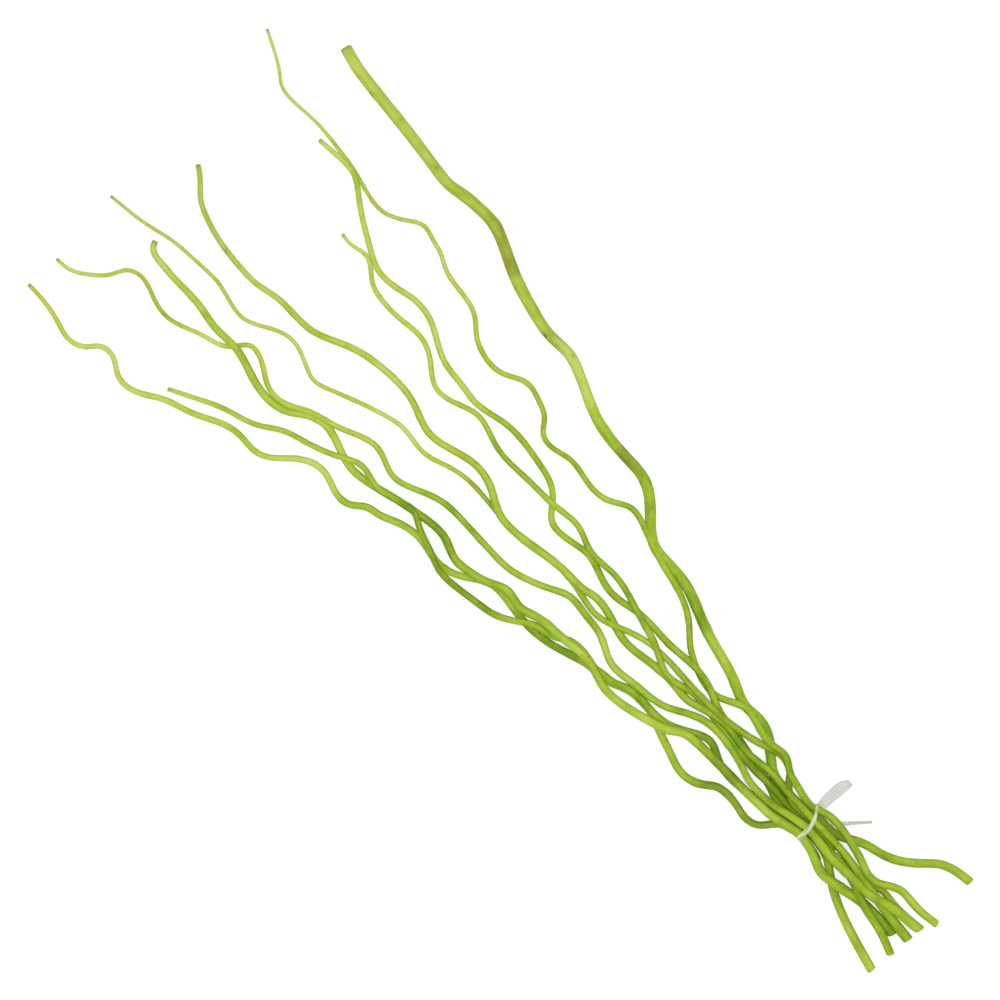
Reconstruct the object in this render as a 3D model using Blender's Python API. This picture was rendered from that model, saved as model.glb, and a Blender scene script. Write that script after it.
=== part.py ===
"""Decorative branch: ten peeled and dyed corkscrew willow stems, lying as one bunch held by a clear ribbon.

Metres, +Z up. The bunch lies on the surface z = 0. Its cut ends are at -X, its tips at +X, and +Y is its left
side seen from the cut ends. Each stem grew as one piece, so each is one closed tube of changing width. The
ribbon is a band pulled tight round all ten stems, a small knot beside it, one loop and one loose tail.
Lengths in the tables are millimetres.
"""

import math

import bmesh
import bpy
import numpy as np

MM = 0.001

# Each stem: "route" is where its centre runs, as (along, across) from tip to cut end, "height" is how high
# the centre lies at some of those places, as (along, up), and "width" is its thickness, as (along, diameter).
# Where two stems cross, their heights differ by both radii and a little air.
STEMS = {
    "stem_outer_right": {
        "route": [
            (329.6, -136.4), (313, -132), (299, -130), (262, -126), (226, -121), (213, -120),
            (201, -122), (188, -123), (176, -123), (158, -117), (136, -107), (117, -101),
            (90, -96), (73, -96), (66, -94), (28, -78), (-6, -74), (-22, -72), (-33, -66),
            (-46, -54), (-59, -45), (-76, -43), (-94, -41), (-123, -30), (-148, -23),
            (-163, -18), (-179, -12), (-194, -12), (-207, -7), (-213, -2), (-218, 2),
            (-223, 5.8), (-229, 8.2), (-236, 9), (-248, 9.8), (-257, 9.2), (-267, 7.2),
            (-277, 7), (-284, 6.5), (-289, 4.5), (-297, 0), (-305, -3.5), (-313, -5.5),
            (-321, -8.06), (-339, -20.35), (-349, -29.35), (-373, -35.35),
        ],
        "height": [
            (328, 4), (260, 6), (200, 8), (120, 9), (40, 6), (-30, 4), (-90, 4), (-212, 4),
            (-240, 3.9), (-255, 4), (-280, 4), (-290, 3.6), (-310, 3.6), (-373, 3.1),
        ],
        "width": [
            (328, 7.9), (200, 8.1), (90, 7.8), (40, 7.4), (20, 7.1), (-10, 7.5), (-45, 7.4),
            (-75, 7.8), (-110, 7.3), (-200, 6.9), (-225, 6.7), (-250, 6.4), (-373, 6),
        ],
    },
    "stem_thin_right": {
        "route": [
            (375, -107), (361, -100), (348, -92), (341, -87), (331, -85), (309, -86), (284, -84),
            (265, -81), (246, -76), (233, -75), (217, -82), (205, -88), (196, -86), (185, -83),
            (175, -78), (164, -75), (138, -69), (127, -60), (119, -56), (97, -55), (81, -62),
            (66, -59), (56, -54), (48, -45), (40, -43), (24, -46), (1, -43), (-15, -45),
            (-29, -52), (-45, -49), (-72, -40), (-95, -34), (-113, -24), (-123, -15), (-137, -7),
            (-161, -3), (-181, -11), (-196, -8), (-210, -6), (-223, -7), (-232, -1.5), (-244, 2),
            (-252, 4), (-260, 4.5), (-266, 2.5), (-270, 1), (-276, 0.3), (-282, 0.6),
            (-288, 1.4), (-295, 3), (-302, 4.7), (-310, 7.2), (-315, 9), (-319, 10.2),
            (-324, 10.3), (-328, 9.3), (-333, 6.5), (-343, 2), (-355, 2.47), (-377, 0.8),
        ],
        "height": [
            (375, 28), (320, 20), (272, 16), (230, 17), (180, 18), (130, 17), (80, 15), (30, 12),
            (-20, 10.5), (-60, 10.4), (-100, 6), (-128, 2.4), (-157, 2.6), (-165, 5.2),
            (-173, 9.2), (-181, 10.4), (-196, 11.4), (-212, 14.6), (-228, 15.2), (-246, 13.8),
            (-256, 13), (-267, 10.2), (-280, 10.7), (-300, 11), (-319, 13), (-343, 8.4),
            (-377, 4),
        ],
        "width": [
            (375, 2), (300, 2.4), (200, 3), (100, 3.5), (0, 3.9), (-100, 4.3), (-250, 4.9),
            (-377, 5.6),
        ],
    },
    "stem_crossing_right": {
        "route": [
            (297, -79), (281, -80), (264, -79), (250, -70), (220, -51), (207, -45), (190, -45),
            (174, -48), (158, -46), (144, -39), (128, -32), (112, -30), (96, -28), (73, -32),
            (35, -29), (21, -25), (12, -18), (3, -8), (-9, -6), (-32, -9), (-53, -3), (-66, -2),
            (-81, -5), (-114, -5), (-141, -6), (-154, -3), (-166, 2), (-191, 7), (-212, 11),
            (-228, 14.4), (-235, 17), (-243, 19), (-254, 19.9), (-262, 19.3), (-267, 18.4),
            (-278, 19), (-286, 20.3), (-291.6, 22.1), (-296, 24.9), (-299.3, 27.3),
            (-303.6, 30.4), (-308, 33.2), (-330, 43.24), (-368, 54.55),
        ],
        "height": [
            (297, 22), (272, 20), (215, 17), (150, 12), (100, 8), (50, 4.5), (10, 3), (-30, 3),
            (-84, 3.2), (-110, 4.5), (-138, 7.5), (-158, 8), (-163, 7.7), (-175, 2.7),
            (-225, 2.7), (-245, 2.8), (-258, 3.4), (-274, 3.4), (-290, 3.2), (-300, 3.2),
            (-368, 3.25),
        ],
        "width": [
            (297, 3), (260, 3.8), (150, 4.1), (0, 4.4), (-100, 4.8), (-200, 5.1), (-260, 5.2),
            (-280, 5.4), (-292, 5.8), (-300, 6), (-368, 6.4),
        ],
    },
    "stem_short_right": {
        "route": [
            (241, -45), (233, -44), (219, -46), (203, -36), (188, -32), (172, -32), (153, -33),
            (139, -27), (122, -16), (106, -18), (89, -23), (65, -17), (35, -16), (4, -17),
            (-12, -18), (-30, -12), (-53, -12), (-83, -5), (-108, 3), (-118, 8), (-126, 11),
            (-136, 10), (-148, 7), (-163, 8), (-176, 10), (-190, 12), (-203, 13.5), (-215, 14.5),
            (-222, 14.3), (-230, 14.3), (-248, 15.5), (-255, 15.3), (-267, 13.3), (-279, 13.9),
            (-288, 14.9), (-292, 15.2),
        ],
        "height": [
            (241, 13), (215, 12), (150, 10), (100, 9), (50, 8), (10, 7.6), (-32, 6.9),
            (-84, 8.6), (-110, 9.95), (-124, 9.6), (-136, 8.4), (-148, 5.6), (-163, 2.8),
            (-178, 3), (-203, 6), (-215, 7.6), (-227, 8), (-240, 7.6), (-248, 6.3), (-255, 5.3),
            (-268, 4.4), (-286, 3.9), (-292, 3),
        ],
        "width": [
            (241, 2.5), (200, 3.3), (100, 3.7), (0, 4.1), (-100, 4.5), (-200, 4.9), (-240, 4.6),
            (-252, 4.2), (-292, 4.2),
        ],
    },
    "stem_centre": {
        "route": [
            (343, -9), (336, -4), (324, 7), (314, 12), (292, 18), (274, 20), (257, 20),
            (241, 17), (209, 16), (193, 10), (178, 4), (155, 0), (126, 2), (104, 9), (85, 6),
            (67, 2), (47, 6), (34, 13), (4, 14), (-33, 10), (-44, 10), (-54, 8), (-74, 11),
            (-90, 15), (-106, 14), (-122, 12), (-135, 12), (-148, 13), (-163, 9), (-184, 7),
            (-207, 9.5), (-222, 7.5), (-236, 8.5), (-248, 9.5), (-261, 10), (-276, 10.6),
            (-291, 10.9), (-305, 12.4), (-312, 13.8), (-331, 17), (-350, 20), (-371, 22.3),
        ],
        "height": [
            (343, 34), (300, 28), (250, 22), (200, 17), (150, 13), (100, 10), (43, 8),
            (-40, 8.2), (-78, 3.6), (-124, 3.2), (-136, 3.4), (-148, 5), (-163, 8.6), (-178, 9),
            (-204, 10.4), (-222, 12.8), (-240, 15.4), (-252, 15.4), (-267, 15.2), (-280, 14.6),
            (-290, 13.6), (-295, 12.9), (-300, 11.6), (-312, 8.5), (-330, 8.6), (-350, 8),
            (-371, 6.6),
        ],
        "width": [
            (343, 3.3), (290, 3.8), (200, 4.4), (100, 4.9), (0, 5.2), (-150, 5.5), (-200, 4.8),
            (-240, 4.8), (-267, 4.8), (-295, 4.8), (-312, 5.4), (-335, 6.1), (-371, 6.7),
        ],
    },
    "stem_thin_centre": {
        "route": [
            (370, 48), (361, 47), (343, 45), (320, 40), (294, 38), (277, 38), (248, 43),
            (224, 32), (215, 30), (199, 34), (184, 39), (173, 36), (144, 25), (131, 21),
            (119, 19), (97, 21), (79, 16), (65, 13), (50, 13), (29, 15), (12, 16), (-26, 11),
            (-49, 14), (-63, 16), (-89, 8), (-105, 4), (-133, 4), (-166, 5), (-186, 3),
            (-202, -0.3), (-212, -3.5), (-220, -5.3), (-224, -5), (-229, -3.4), (-232, -1.8),
            (-234, 0.5), (-237, 4), (-241, 8), (-245, 11), (-250, 12.4), (-256, 12.3),
            (-262, 11.4), (-267, 10.5), (-273, 10.1), (-279, 10), (-289, 11), (-299, 12.5),
            (-310, 13.9), (-319, 13.7), (-328, 12.2), (-336, 11), (-344, 11.8), (-357, 12.3),
            (-369, 12.9),
        ],
        "height": [
            (370, 24), (320, 20), (270, 15), (220, 10), (150, 6), (100, 4), (50, 3.2), (-33, 3),
            (-56, 6), (-78, 8.8), (-96, 7), (-110, 5.1), (-130, 7.5), (-142, 10.4), (-148, 11.4),
            (-175, 13.8), (-195, 11.5), (-212, 10), (-228, 10), (-245, 9.9), (-252, 10.2),
            (-267, 9.9), (-280, 9.4), (-287, 8.6), (-292, 7.9), (-300, 5.4), (-308, 3),
            (-369, 2.6),
        ],
        "width": [
            (370, 2), (320, 2.4), (200, 2.9), (80, 3.3), (0, 3.7), (-100, 4.1), (-200, 4.5),
            (-300, 4.8), (-369, 4.9),
        ],
    },
    "stem_pale_left": {
        "route": [
            (327, 48), (325, 52), (313, 56), (299, 57), (275, 58), (257, 61), (238, 61),
            (212, 68), (197, 70), (183, 67), (171, 59), (159, 55), (146, 57), (127, 63),
            (101, 60), (85, 56), (70, 53), (45, 52), (31, 57), (17, 56), (3, 52), (-10, 47),
            (-23, 49), (-35, 46), (-61, 43), (-84, 42), (-101, 47), (-116, 47), (-145, 40),
            (-153, 37), (-160, 32), (-175, 29), (-210, 29), (-229, 28.8), (-237, 28.5),
            (-243, 28.3), (-251, 26.5), (-257, 25), (-267, 23.5), (-275, 24.7), (-281, 26.2),
            (-286, 28.3), (-291, 30.3), (-296, 31.8), (-301, 31.5), (-310, 30.2), (-326, 27),
            (-342, 26), (-361, 27.3),
        ],
        "height": [
            (327, 26), (290, 20), (260, 13), (240, 9.5), (197, 6), (165, 5), (133, 4.6), (93, 4),
            (60, 5), (30, 8), (8, 9.4), (-26, 9), (-45, 10.8), (-56, 12.3), (-62, 12.8),
            (-80, 14.1), (-92, 14.2), (-140, 11.7), (-147, 11.3), (-160, 9.8), (-170, 9.6),
            (-212, 9.2), (-243, 10.9), (-249, 11.5), (-257, 11.6), (-267, 11.3), (-290, 10.5),
            (-306, 10), (-311, 8.4), (-318, 6), (-326, 5), (-340, 4), (-361, 3.6),
        ],
        "width": [
            (327, 4.2), (300, 4.7), (230, 5.2), (100, 5.4), (-60, 5.6), (-200, 6), (-290, 6.5),
            (-361, 6.6),
        ],
    },
    "stem_long_left": {
        "route": [
            (366, 104), (355, 103), (343, 96), (333, 86), (326, 75), (318, 72), (299, 77),
            (285, 79), (260, 71), (241, 63), (232, 53), (221, 54), (203, 64), (191, 65),
            (171, 56), (151, 50), (120, 41), (100, 47), (87, 44), (66, 36), (42, 35), (18, 36),
            (3, 36), (-14, 32), (-30, 25), (-42, 20), (-58, 21), (-76, 24), (-94, 32),
            (-115, 31), (-140, 27.2), (-158, 18), (-172, 14), (-190, 15), (-208, 19.5),
            (-214, 21.6), (-220, 22.8), (-226, 23.2), (-232, 23), (-238, 22.3), (-248, 20.5),
            (-258, 18.4), (-267, 17.2), (-277, 17.6), (-286, 19), (-294, 19.9), (-303, 19.6),
            (-311, 19.4), (-319, 19.7), (-328, 19.3), (-334, 18), (-346, 14.7), (-353, 13.4),
            (-361, 12.8), (-372, 11.5),
        ],
        "height": [
            (366, 20), (320, 14), (270, 6), (240, 4.5), (200, 8.8), (165, 10.2), (120, 11),
            (60, 11), (0, 10.5), (-40, 10), (-58, 9.8), (-90, 9.2), (-100, 10.5), (-122, 11.4),
            (-160, 11.6), (-195, 12.5), (-215, 14.4), (-250, 15.5), (-257, 15.5), (-267, 15.2),
            (-278, 15.1), (-300, 14.8), (-311, 15.3), (-320, 15.5), (-335, 15.2), (-347, 13.7),
            (-372, 9),
        ],
        "width": [
            (366, 2.4), (320, 2.8), (220, 3.5), (80, 4.2), (-60, 4.7), (-170, 4.9), (-195, 4.6),
            (-215, 4.3), (-240, 4.9), (-260, 5.7), (-285, 6.1), (-330, 6.1), (-372, 6.6),
        ],
    },
    "stem_outer_left": {
        "route": [
            (368, 130), (350, 131), (336, 134), (322, 137), (311, 133), (303, 125), (293, 124),
            (280, 131), (265, 130), (249, 121), (227, 113), (208, 104), (195, 101), (177, 101),
            (166, 95), (154, 84), (136, 78), (117, 83), (107, 81), (99, 75), (88, 72), (78, 68),
            (60, 64), (33, 67), (16, 60), (2, 52), (-16, 52), (-42, 54), (-63, 50), (-86, 43.7),
            (-96, 43), (-105, 41), (-115, 37), (-127, 36), (-139, 37), (-150, 41.5),
            (-164, 46.3), (-181, 51), (-197, 46), (-204, 41), (-213, 39.3), (-222, 40),
            (-231, 41.8), (-237, 41.6), (-242, 39.6), (-247, 34.5), (-253, 28), (-260, 25.4),
            (-267, 24), (-275, 24.6), (-280, 25.3), (-285, 26.5), (-289, 27.8),
        ],
        "height": [
            (368, 1.45), (330, 4), (300, 7), (265, 8), (230, 5), (200, 3), (150, 2.8), (100, 5),
            (45, 3), (0, 3), (-40, 3), (-90, 3.1), (-140, 3), (-190, 4.2), (-230, 3.2),
            (-255, 4.6), (-262, 5.2), (-267, 5.1), (-280, 4), (-289, 3),
        ],
        "width": [
            (368, 2.8), (345, 3.4), (250, 4.1), (100, 4.8), (-50, 5.3), (-200, 5.6), (-240, 5.1),
            (-260, 5.4), (-289, 5.4),
        ],
    },
    "stem_short_left": {
        "route": [
            (250, 113), (232, 104), (212, 95), (191, 88), (175, 78), (157, 72), (133, 62),
            (121, 57), (100, 60), (92, 58), (83, 56), (75, 54), (63, 59), (47, 65), (33, 70),
            (18, 70), (-4, 67), (-14, 65), (-29, 57), (-41, 50), (-53, 47), (-64, 41),
            (-75, 39.8), (-82, 41), (-88, 42.3), (-94, 41.5), (-105, 40), (-115, 36), (-127, 35),
            (-144, 35.5), (-160, 30.3), (-180, 22), (-195, 28), (-225, 28), (-245, 23),
            (-258, 18), (-267, 17), (-284, 17.5), (-299, 17.9), (-306, 18.7), (-311, 19.7),
            (-315, 20.7), (-319, 22), (-324, 24), (-331, 26.7), (-350, 31), (-369, 38),
        ],
        "height": [
            (250, 30), (190, 18), (133, 9.8), (93, 9.8), (70, 9.7), (45, 8.6), (10, 9),
            (-35, 8.4), (-62, 6.6), (-86, 8.4), (-92, 8.4), (-100, 8.5), (-122, 8.6),
            (-139, 8.6), (-144, 7.7), (-147, 6.6), (-152, 5.2), (-165, 3.2), (-232, 3),
            (-238, 3.8), (-243, 6.5), (-249, 8.6), (-255, 9.4), (-260, 9.4), (-267, 9.1),
            (-278, 9), (-287, 8.5), (-303, 8.1), (-311, 8.5), (-315, 8.7), (-319, 9.5),
            (-324, 10.8), (-328, 11.6), (-333, 11.5), (-340, 10), (-350, 8.2), (-369, 4.2),
        ],
        "width": [
            (250, 2.7), (220, 3.5), (100, 4.1), (-50, 4.8), (-200, 5.3), (-369, 5.7),
        ],
    },
}

# The dyed bark-free wood: a lime green that varies from stem to stem, in sRGB.
STEM_COLOURS = {
    "stem_outer_right": "A3B954",
    "stem_thin_right": "96AA34",
    "stem_crossing_right": "93AD2C",
    "stem_short_right": "97B02F",
    "stem_centre": "98B42C",
    "stem_thin_centre": "93A83A",
    "stem_pale_left": "9DB23C",
    "stem_long_left": "9ABA2A",
    "stem_outer_left": "9CB244",
    "stem_short_left": "8CA62A",
}
STEM_ROUGHNESS = 0.5
STEM_SIDES_RESOLUTION = 2
LARGEST_CHORD_ERROR = 0.36
SHORTEST_SEGMENT = 5.0
LONGEST_SEGMENT = 20.0
FINE_STEP = 0.5

# The middle of the bunch's footprint and its lowest point, in route millimetres. The origin goes there.
FOOTPRINT_MIDDLE = (-1.0, -0.72, 0.0492)

RIBBON_COLOUR = "DDE3CF"
RIBBON_ROUGHNESS = 0.3
RIBBON_THICKNESS = 0.4
RIBBON_GAP = 0.3

# Seen from above the band runs straight over the left of the bunch and sweeps toward the tips at the right.
BAND_PLACE = -268.25
BAND_STRAIGHT_TO = 18.0
BAND_SWEEP = 0.0255
BAND_LARGEST_SWEEP = 20.0
BAND_WIDTH_AT_MIDDLE = 1.6
BAND_WIDTH_GAIN = 0.08
BAND_WIDTH_LIMITS = (1.8, 3.6)
BAND_STATIONS = 44

KNOT_CENTRE = (-262.4, 0.3, 6.2)
KNOT_SIZE = (3.4, 2.4, 3.2)

# The loop leaves the knot, folds back at its far end and comes home above itself. Each place on these two
# routes is (along, across, up, width).
LOOP_ROUTE = [
    (-262.8, -1.4, 5.5, 4.4), (-263.4, -2.8, 5.5, 6.4), (-263.6, -5, 5.6, 7.3), (-263.7, -10, 6, 7.7),
    (-264.2, -16, 5.6, 8.1), (-265.1, -20.8, 5.8, 7.7), (-266, -24, 6.6, 5.6), (-266.4, -25.6, 8, 4.4),
    (-266, -24, 9.4, 5.6), (-265.1, -20.8, 10.2, 7.7), (-264.2, -16, 10.4, 8.1), (-263.7, -10, 10, 7.7),
    (-263.6, -5, 9.2, 7.3), (-263.5, -2.5, 8.9, 6.9), (-263.0, -0.4, 8.4, 5.0),
]
# The tail leaves the knot, passes between two stems and runs out to the right, narrow and straight.
TAIL_ROUTE = [
    (-264.8, 0.8, 6.4, 2), (-268, 1.4, 6.6, 2.2), (-271, 2, 7, 2.4), (-274.5, 2.9, 7.4, 2.4),
    (-277.5, 2.6, 7.5, 2.5), (-282, -1.4, 7, 2.8), (-288, -8.2, 6.2, 2.5), (-295.9, -17, 5.4, 1.9),
]
RIBBON_STATIONS_PER_SPAN = 2


def linear_rgba(hex_colour):
    """The sRGB curve undone: c/12.92 near black, ((c + 0.055)/1.055)^2.4 above it."""
    channels = [int(hex_colour[i : i + 2], 16) / 255 for i in (0, 2, 4)]
    return [c / 12.92 if c <= 0.04045 else ((c + 0.055) / 1.055) ** 2.4 for c in channels] + [1.0]


def material(name, hex_colour, roughness):
    """A Principled material of one colour, non-metallic."""
    made = bpy.data.materials.new(name)
    made.use_nodes = True
    shader = made.node_tree.nodes["Principled BSDF"]
    shader.inputs["Base Color"].default_value = linear_rgba(hex_colour)
    shader.inputs["Roughness"].default_value = roughness
    shader.inputs["Metallic"].default_value = 0.0
    return made


def place(name, data):
    """An object holding this shape, set so that the footprint's middle is at the world's origin."""
    made = bpy.data.objects.new(name, data)
    made.location = [-middle * MM for middle in FOOTPRINT_MIDDLE]
    bpy.context.collection.objects.link(made)


def smooth_curve(points, step):
    """A natural cubic spline through the points, over the length of the straight lines that join them.

    Its second derivatives m solve h[i-1] m[i-1] + 2 (h[i-1] + h[i]) m[i] + h[i] m[i+1] = 6 (d[i] - d[i-1]),
    with h the lengths and d the slopes of the lines and m = 0 at both ends. It is read about every `step`.
    """
    points = np.array(points, float)
    along = np.append(0.0, np.cumsum(np.linalg.norm(np.diff(points[:, :2], axis=0), axis=1)))
    length = np.diff(along)
    slope = np.diff(points, axis=0) / length[:, None]
    inner = np.arange(1, len(points) - 1)
    system = np.eye(len(points))
    system[inner, inner - 1] = length[:-1]
    system[inner, inner] = 2 * (length[:-1] + length[1:])
    system[inner, inner + 1] = length[1:]
    wanted = np.zeros_like(points)
    wanted[1:-1] = 6 * np.diff(slope, axis=0)
    bend = np.linalg.solve(system, wanted)
    reach = np.linspace(0.0, along[-1], int(round(along[-1] / step)) + 1)
    span = np.clip(np.searchsorted(along, reach, side="right") - 1, 0, len(length) - 1)
    size = length[span][:, None]
    after = (reach - along[span])[:, None]
    before = size - after
    cubic = (bend[span] * before**3 + bend[span + 1] * after**3) / (6 * size)
    line = (points[span] / size - bend[span] * size / 6) * before
    return cubic + line + (points[span + 1] / size - bend[span + 1] * size / 6) * after


def eased_height(stations, along):
    """A monotone cubic through (along, up) stations, so that it never rises above or sinks below them.

    Each station's slope is the harmonic mean of the slopes on its two sides, or 0 at a summit or a dip.
    """
    places, heights = np.array(sorted(stations), float).T
    gap = np.diff(places)
    slope = np.diff(heights) / gap
    product = slope[:-1] * slope[1:]
    rising_on = product > 0
    total = np.where(rising_on, slope[:-1] + slope[1:], 1.0)
    tangent = np.concatenate([slope[:1], np.where(rising_on, 2 * product / total, 0.0), slope[-1:]])
    span = np.clip(np.searchsorted(places, along, side="right") - 1, 0, len(gap) - 1)
    size = gap[span]
    t = np.clip((along - places[span]) / size, 0.0, 1.0)
    ends = heights[span] * (1 + 2 * t) * (1 - t) ** 2 + heights[span + 1] * t * t * (3 - 2 * t)
    return ends + size * (tangent[span] * t * (1 - t) ** 2 - tangent[span + 1] * t * t * (1 - t))


def stem_line(stem):
    """A stem's centre points, tip to cut end, and its radius at each of them."""
    centre = smooth_curve(stem["route"], FINE_STEP)
    up = eased_height(stem["height"], centre[:, 0])
    places, widths = np.array(sorted(stem["width"]), float).T
    return np.column_stack([centre, up]), np.interp(centre[:, 0], places, widths) / 2


def ring_places(centre):
    """Which centre points carry a ring: closer together where the stem bends harder.

    A chord of length L across an arc of radius R misses it by L^2 / 8R, so L = sqrt(8 R error).
    """
    step = np.linalg.norm(np.diff(centre, axis=0), axis=1)
    heading = np.diff(centre, axis=0) / step[:, None]
    turn = np.linalg.norm(np.diff(heading, axis=0), axis=1) / step[1:]
    turn = np.append(turn[:1], np.append(turn, turn[-1:]))
    smoothed = np.convolve(np.pad(turn, 8, mode="edge"), np.ones(17) / 17, mode="valid")[: len(step)]
    chord = np.sqrt(8 * LARGEST_CHORD_ERROR / np.maximum(smoothed, 1e-4))
    density = np.append(0.0, np.cumsum(step / np.clip(chord, SHORTEST_SEGMENT, LONGEST_SEGMENT)))
    wanted = np.linspace(0.0, density[-1], int(math.ceil(density[-1])) + 1)
    return np.unique(np.searchsorted(density, wanted).clip(0, len(centre) - 1))


def add_stem(name, stem):
    """One stem: a curve object whose round bevel follows the radius, closed by flat cut ends."""
    centre, radius = stem_line(stem)
    rings = ring_places(centre)
    curve = bpy.data.curves.new(name, "CURVE")
    curve.dimensions = "3D"
    curve.twist_mode = "Z_UP"
    curve.bevel_depth = MM
    curve.bevel_resolution = STEM_SIDES_RESOLUTION
    curve.use_fill_caps = True
    spline = curve.splines.new("POLY")
    spline.points.add(len(rings) - 1)
    for point, ring in zip(spline.points, rings):
        point.co = (*(centre[ring] * MM), 1.0)
        point.radius = radius[ring]
    spline.use_smooth = True
    curve.materials.append(material(name + "_wood", STEM_COLOURS[name], STEM_ROUGHNESS))
    place(name, curve)


def band_sweep(across):
    """How far the band lies toward the tips here: sweep . (distance to the right of its straight run)^2."""
    return BAND_SWEEP * np.clip(BAND_STRAIGHT_TO - across, 0.0, BAND_LARGEST_SWEEP) ** 2


def band_width(across):
    """The band's width here: gathered narrow at the bunch's right, and wider in even steps to the left."""
    return np.clip(BAND_WIDTH_AT_MIDDLE + BAND_WIDTH_GAIN * across, *BAND_WIDTH_LIMITS)


def band_discs():
    """The stems' cuts along the band and along both its edges, as (along, across, up, radius)."""
    discs = []
    for stem in STEMS.values():
        centre, radius = stem_line(stem)
        for edge in (-0.6, 0.0, 0.6):
            wanted = BAND_PLACE + band_sweep(centre[:, 1]) + edge * band_width(centre[:, 1])
            nearest = np.argmin(np.abs(centre[:, 0] - wanted))
            discs.append((*centre[nearest], radius[nearest]))
    return np.array(discs)


def band_outline(gap):
    """The tight outline round all the discs: in each direction, the rim point that reaches farthest."""
    discs = band_discs()
    turns = np.linspace(0.0, 2 * math.pi, BAND_STATIONS, endpoint=False)
    outward = np.column_stack([np.cos(turns), np.sin(turns)])
    reach = outward @ discs[:, 1:3].T + discs[:, 3]
    farthest = discs[np.argmax(reach, axis=1)]
    return farthest[:, 1:3] + outward * (farthest[:, 3:] + gap)


def add_mesh(name, vertices, faces, hex_colour):
    """A mesh object from its points in millimetres, with its faces turned outward."""
    mesh = bpy.data.meshes.new(name)
    mesh.from_pydata([tuple(v) for v in np.asarray(vertices) * MM], [], faces)
    shape = bmesh.new()
    shape.from_mesh(mesh)
    bmesh.ops.recalc_face_normals(shape, faces=shape.faces)
    shape.to_mesh(mesh)
    shape.free()
    mesh.materials.append(material(name + "_film", hex_colour, RIBBON_ROUGHNESS))
    place(name, mesh)


def swept_faces(count, closed):
    """The quads that join `count` four-cornered sections in a row, round to the first again or capped."""
    faces = []
    for section in range(count if closed else count - 1):
        here = 4 * section
        there = 4 * ((section + 1) % count)
        for corner in range(4):
            following = (corner + 1) % 4
            faces.append((here + corner, here + following, there + following, there + corner))
    if not closed:
        last = 4 * (count - 1)
        faces.append((3, 2, 1, 0))
        faces.append((last, last + 1, last + 2, last + 3))
    return faces


def add_band():
    """The ribbon pulled round the bunch: a flat ring on the outline, swept toward the tips at its right."""
    inner = band_outline(RIBBON_GAP)
    outer = band_outline(RIBBON_GAP + RIBBON_THICKNESS)
    middle = BAND_PLACE + band_sweep(inner[:, 0])
    half = band_width(inner[:, 0]) / 2
    corners = np.stack(
        [
            np.column_stack([middle - half, inner]),
            np.column_stack([middle + half, inner]),
            np.column_stack([middle + half, outer]),
            np.column_stack([middle - half, outer]),
        ],
        axis=1,
    )
    add_mesh("ribbon_band", corners.reshape(-1, 3), swept_faces(BAND_STATIONS, True), RIBBON_COLOUR)


def add_film(name, route, across=None):
    """A flat strip of film along a route of (along, across, up, width).

    Its width lies on `across`, or level and square to its run where none is given. Its thickness is square to
    both.
    """
    line = smooth_curve(route, 1.0)
    stations = (len(route) - 1) * RIBBON_STATIONS_PER_SPAN + 1
    line = line[np.linspace(0, len(line) - 1, stations).round().astype(int)]
    centre = line[:, :3]
    run = np.gradient(centre, axis=0)
    run /= np.linalg.norm(run, axis=1)[:, None]
    level = np.cross((0.0, 0.0, 1.0), run) if across is None else across - run * (run @ across)[:, None]
    level /= np.linalg.norm(level, axis=1)[:, None]
    half_width = level * line[:, 3:] / 2
    half_thick = np.cross(run, level) * RIBBON_THICKNESS / 2
    lower_right = centre - half_width - half_thick
    lower_left = centre + half_width - half_thick
    upper_left = centre + half_width + half_thick
    upper_right = centre - half_width + half_thick
    corners = np.stack([lower_right, lower_left, upper_left, upper_right], axis=1).reshape(-1, 3)
    add_mesh(name, corners, swept_faces(len(line), False), RIBBON_COLOUR)


def add_knot():
    """The small tight knot at the bunch's right side, a rounded lump."""
    mesh = bpy.data.meshes.new("ribbon_knot")
    shape = bmesh.new()
    bmesh.ops.create_uvsphere(shape, u_segments=10, v_segments=7, radius=0.5)
    bmesh.ops.scale(shape, vec=[side * MM for side in KNOT_SIZE], verts=shape.verts)
    bmesh.ops.translate(shape, vec=[middle * MM for middle in KNOT_CENTRE], verts=shape.verts)
    shape.to_mesh(mesh)
    shape.free()
    mesh.shade_smooth()
    mesh.materials.append(material("ribbon_knot_film", RIBBON_COLOUR, RIBBON_ROUGHNESS))
    place("ribbon_knot", mesh)


for thing in list(bpy.data.objects):
    bpy.data.objects.remove(thing, do_unlink=True)
for stem_name, stem_sizes in STEMS.items():
    add_stem(stem_name, stem_sizes)
add_band()
add_knot()
add_film("ribbon_loop", LOOP_ROUTE, np.array((1.0, 0.0, 0.0)))
add_film("ribbon_tail", TAIL_ROUTE)
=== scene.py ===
"""Decorative branch: ten peeled and dyed corkscrew willow stems, lying as one bunch held by a clear ribbon.

Metres, +Z up. The bunch lies on the surface z = 0. Its cut ends are at -X, its tips at +X, and +Y is its left
side seen from the cut ends. Lengths in the tables are millimetres.
"""

import math

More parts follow.
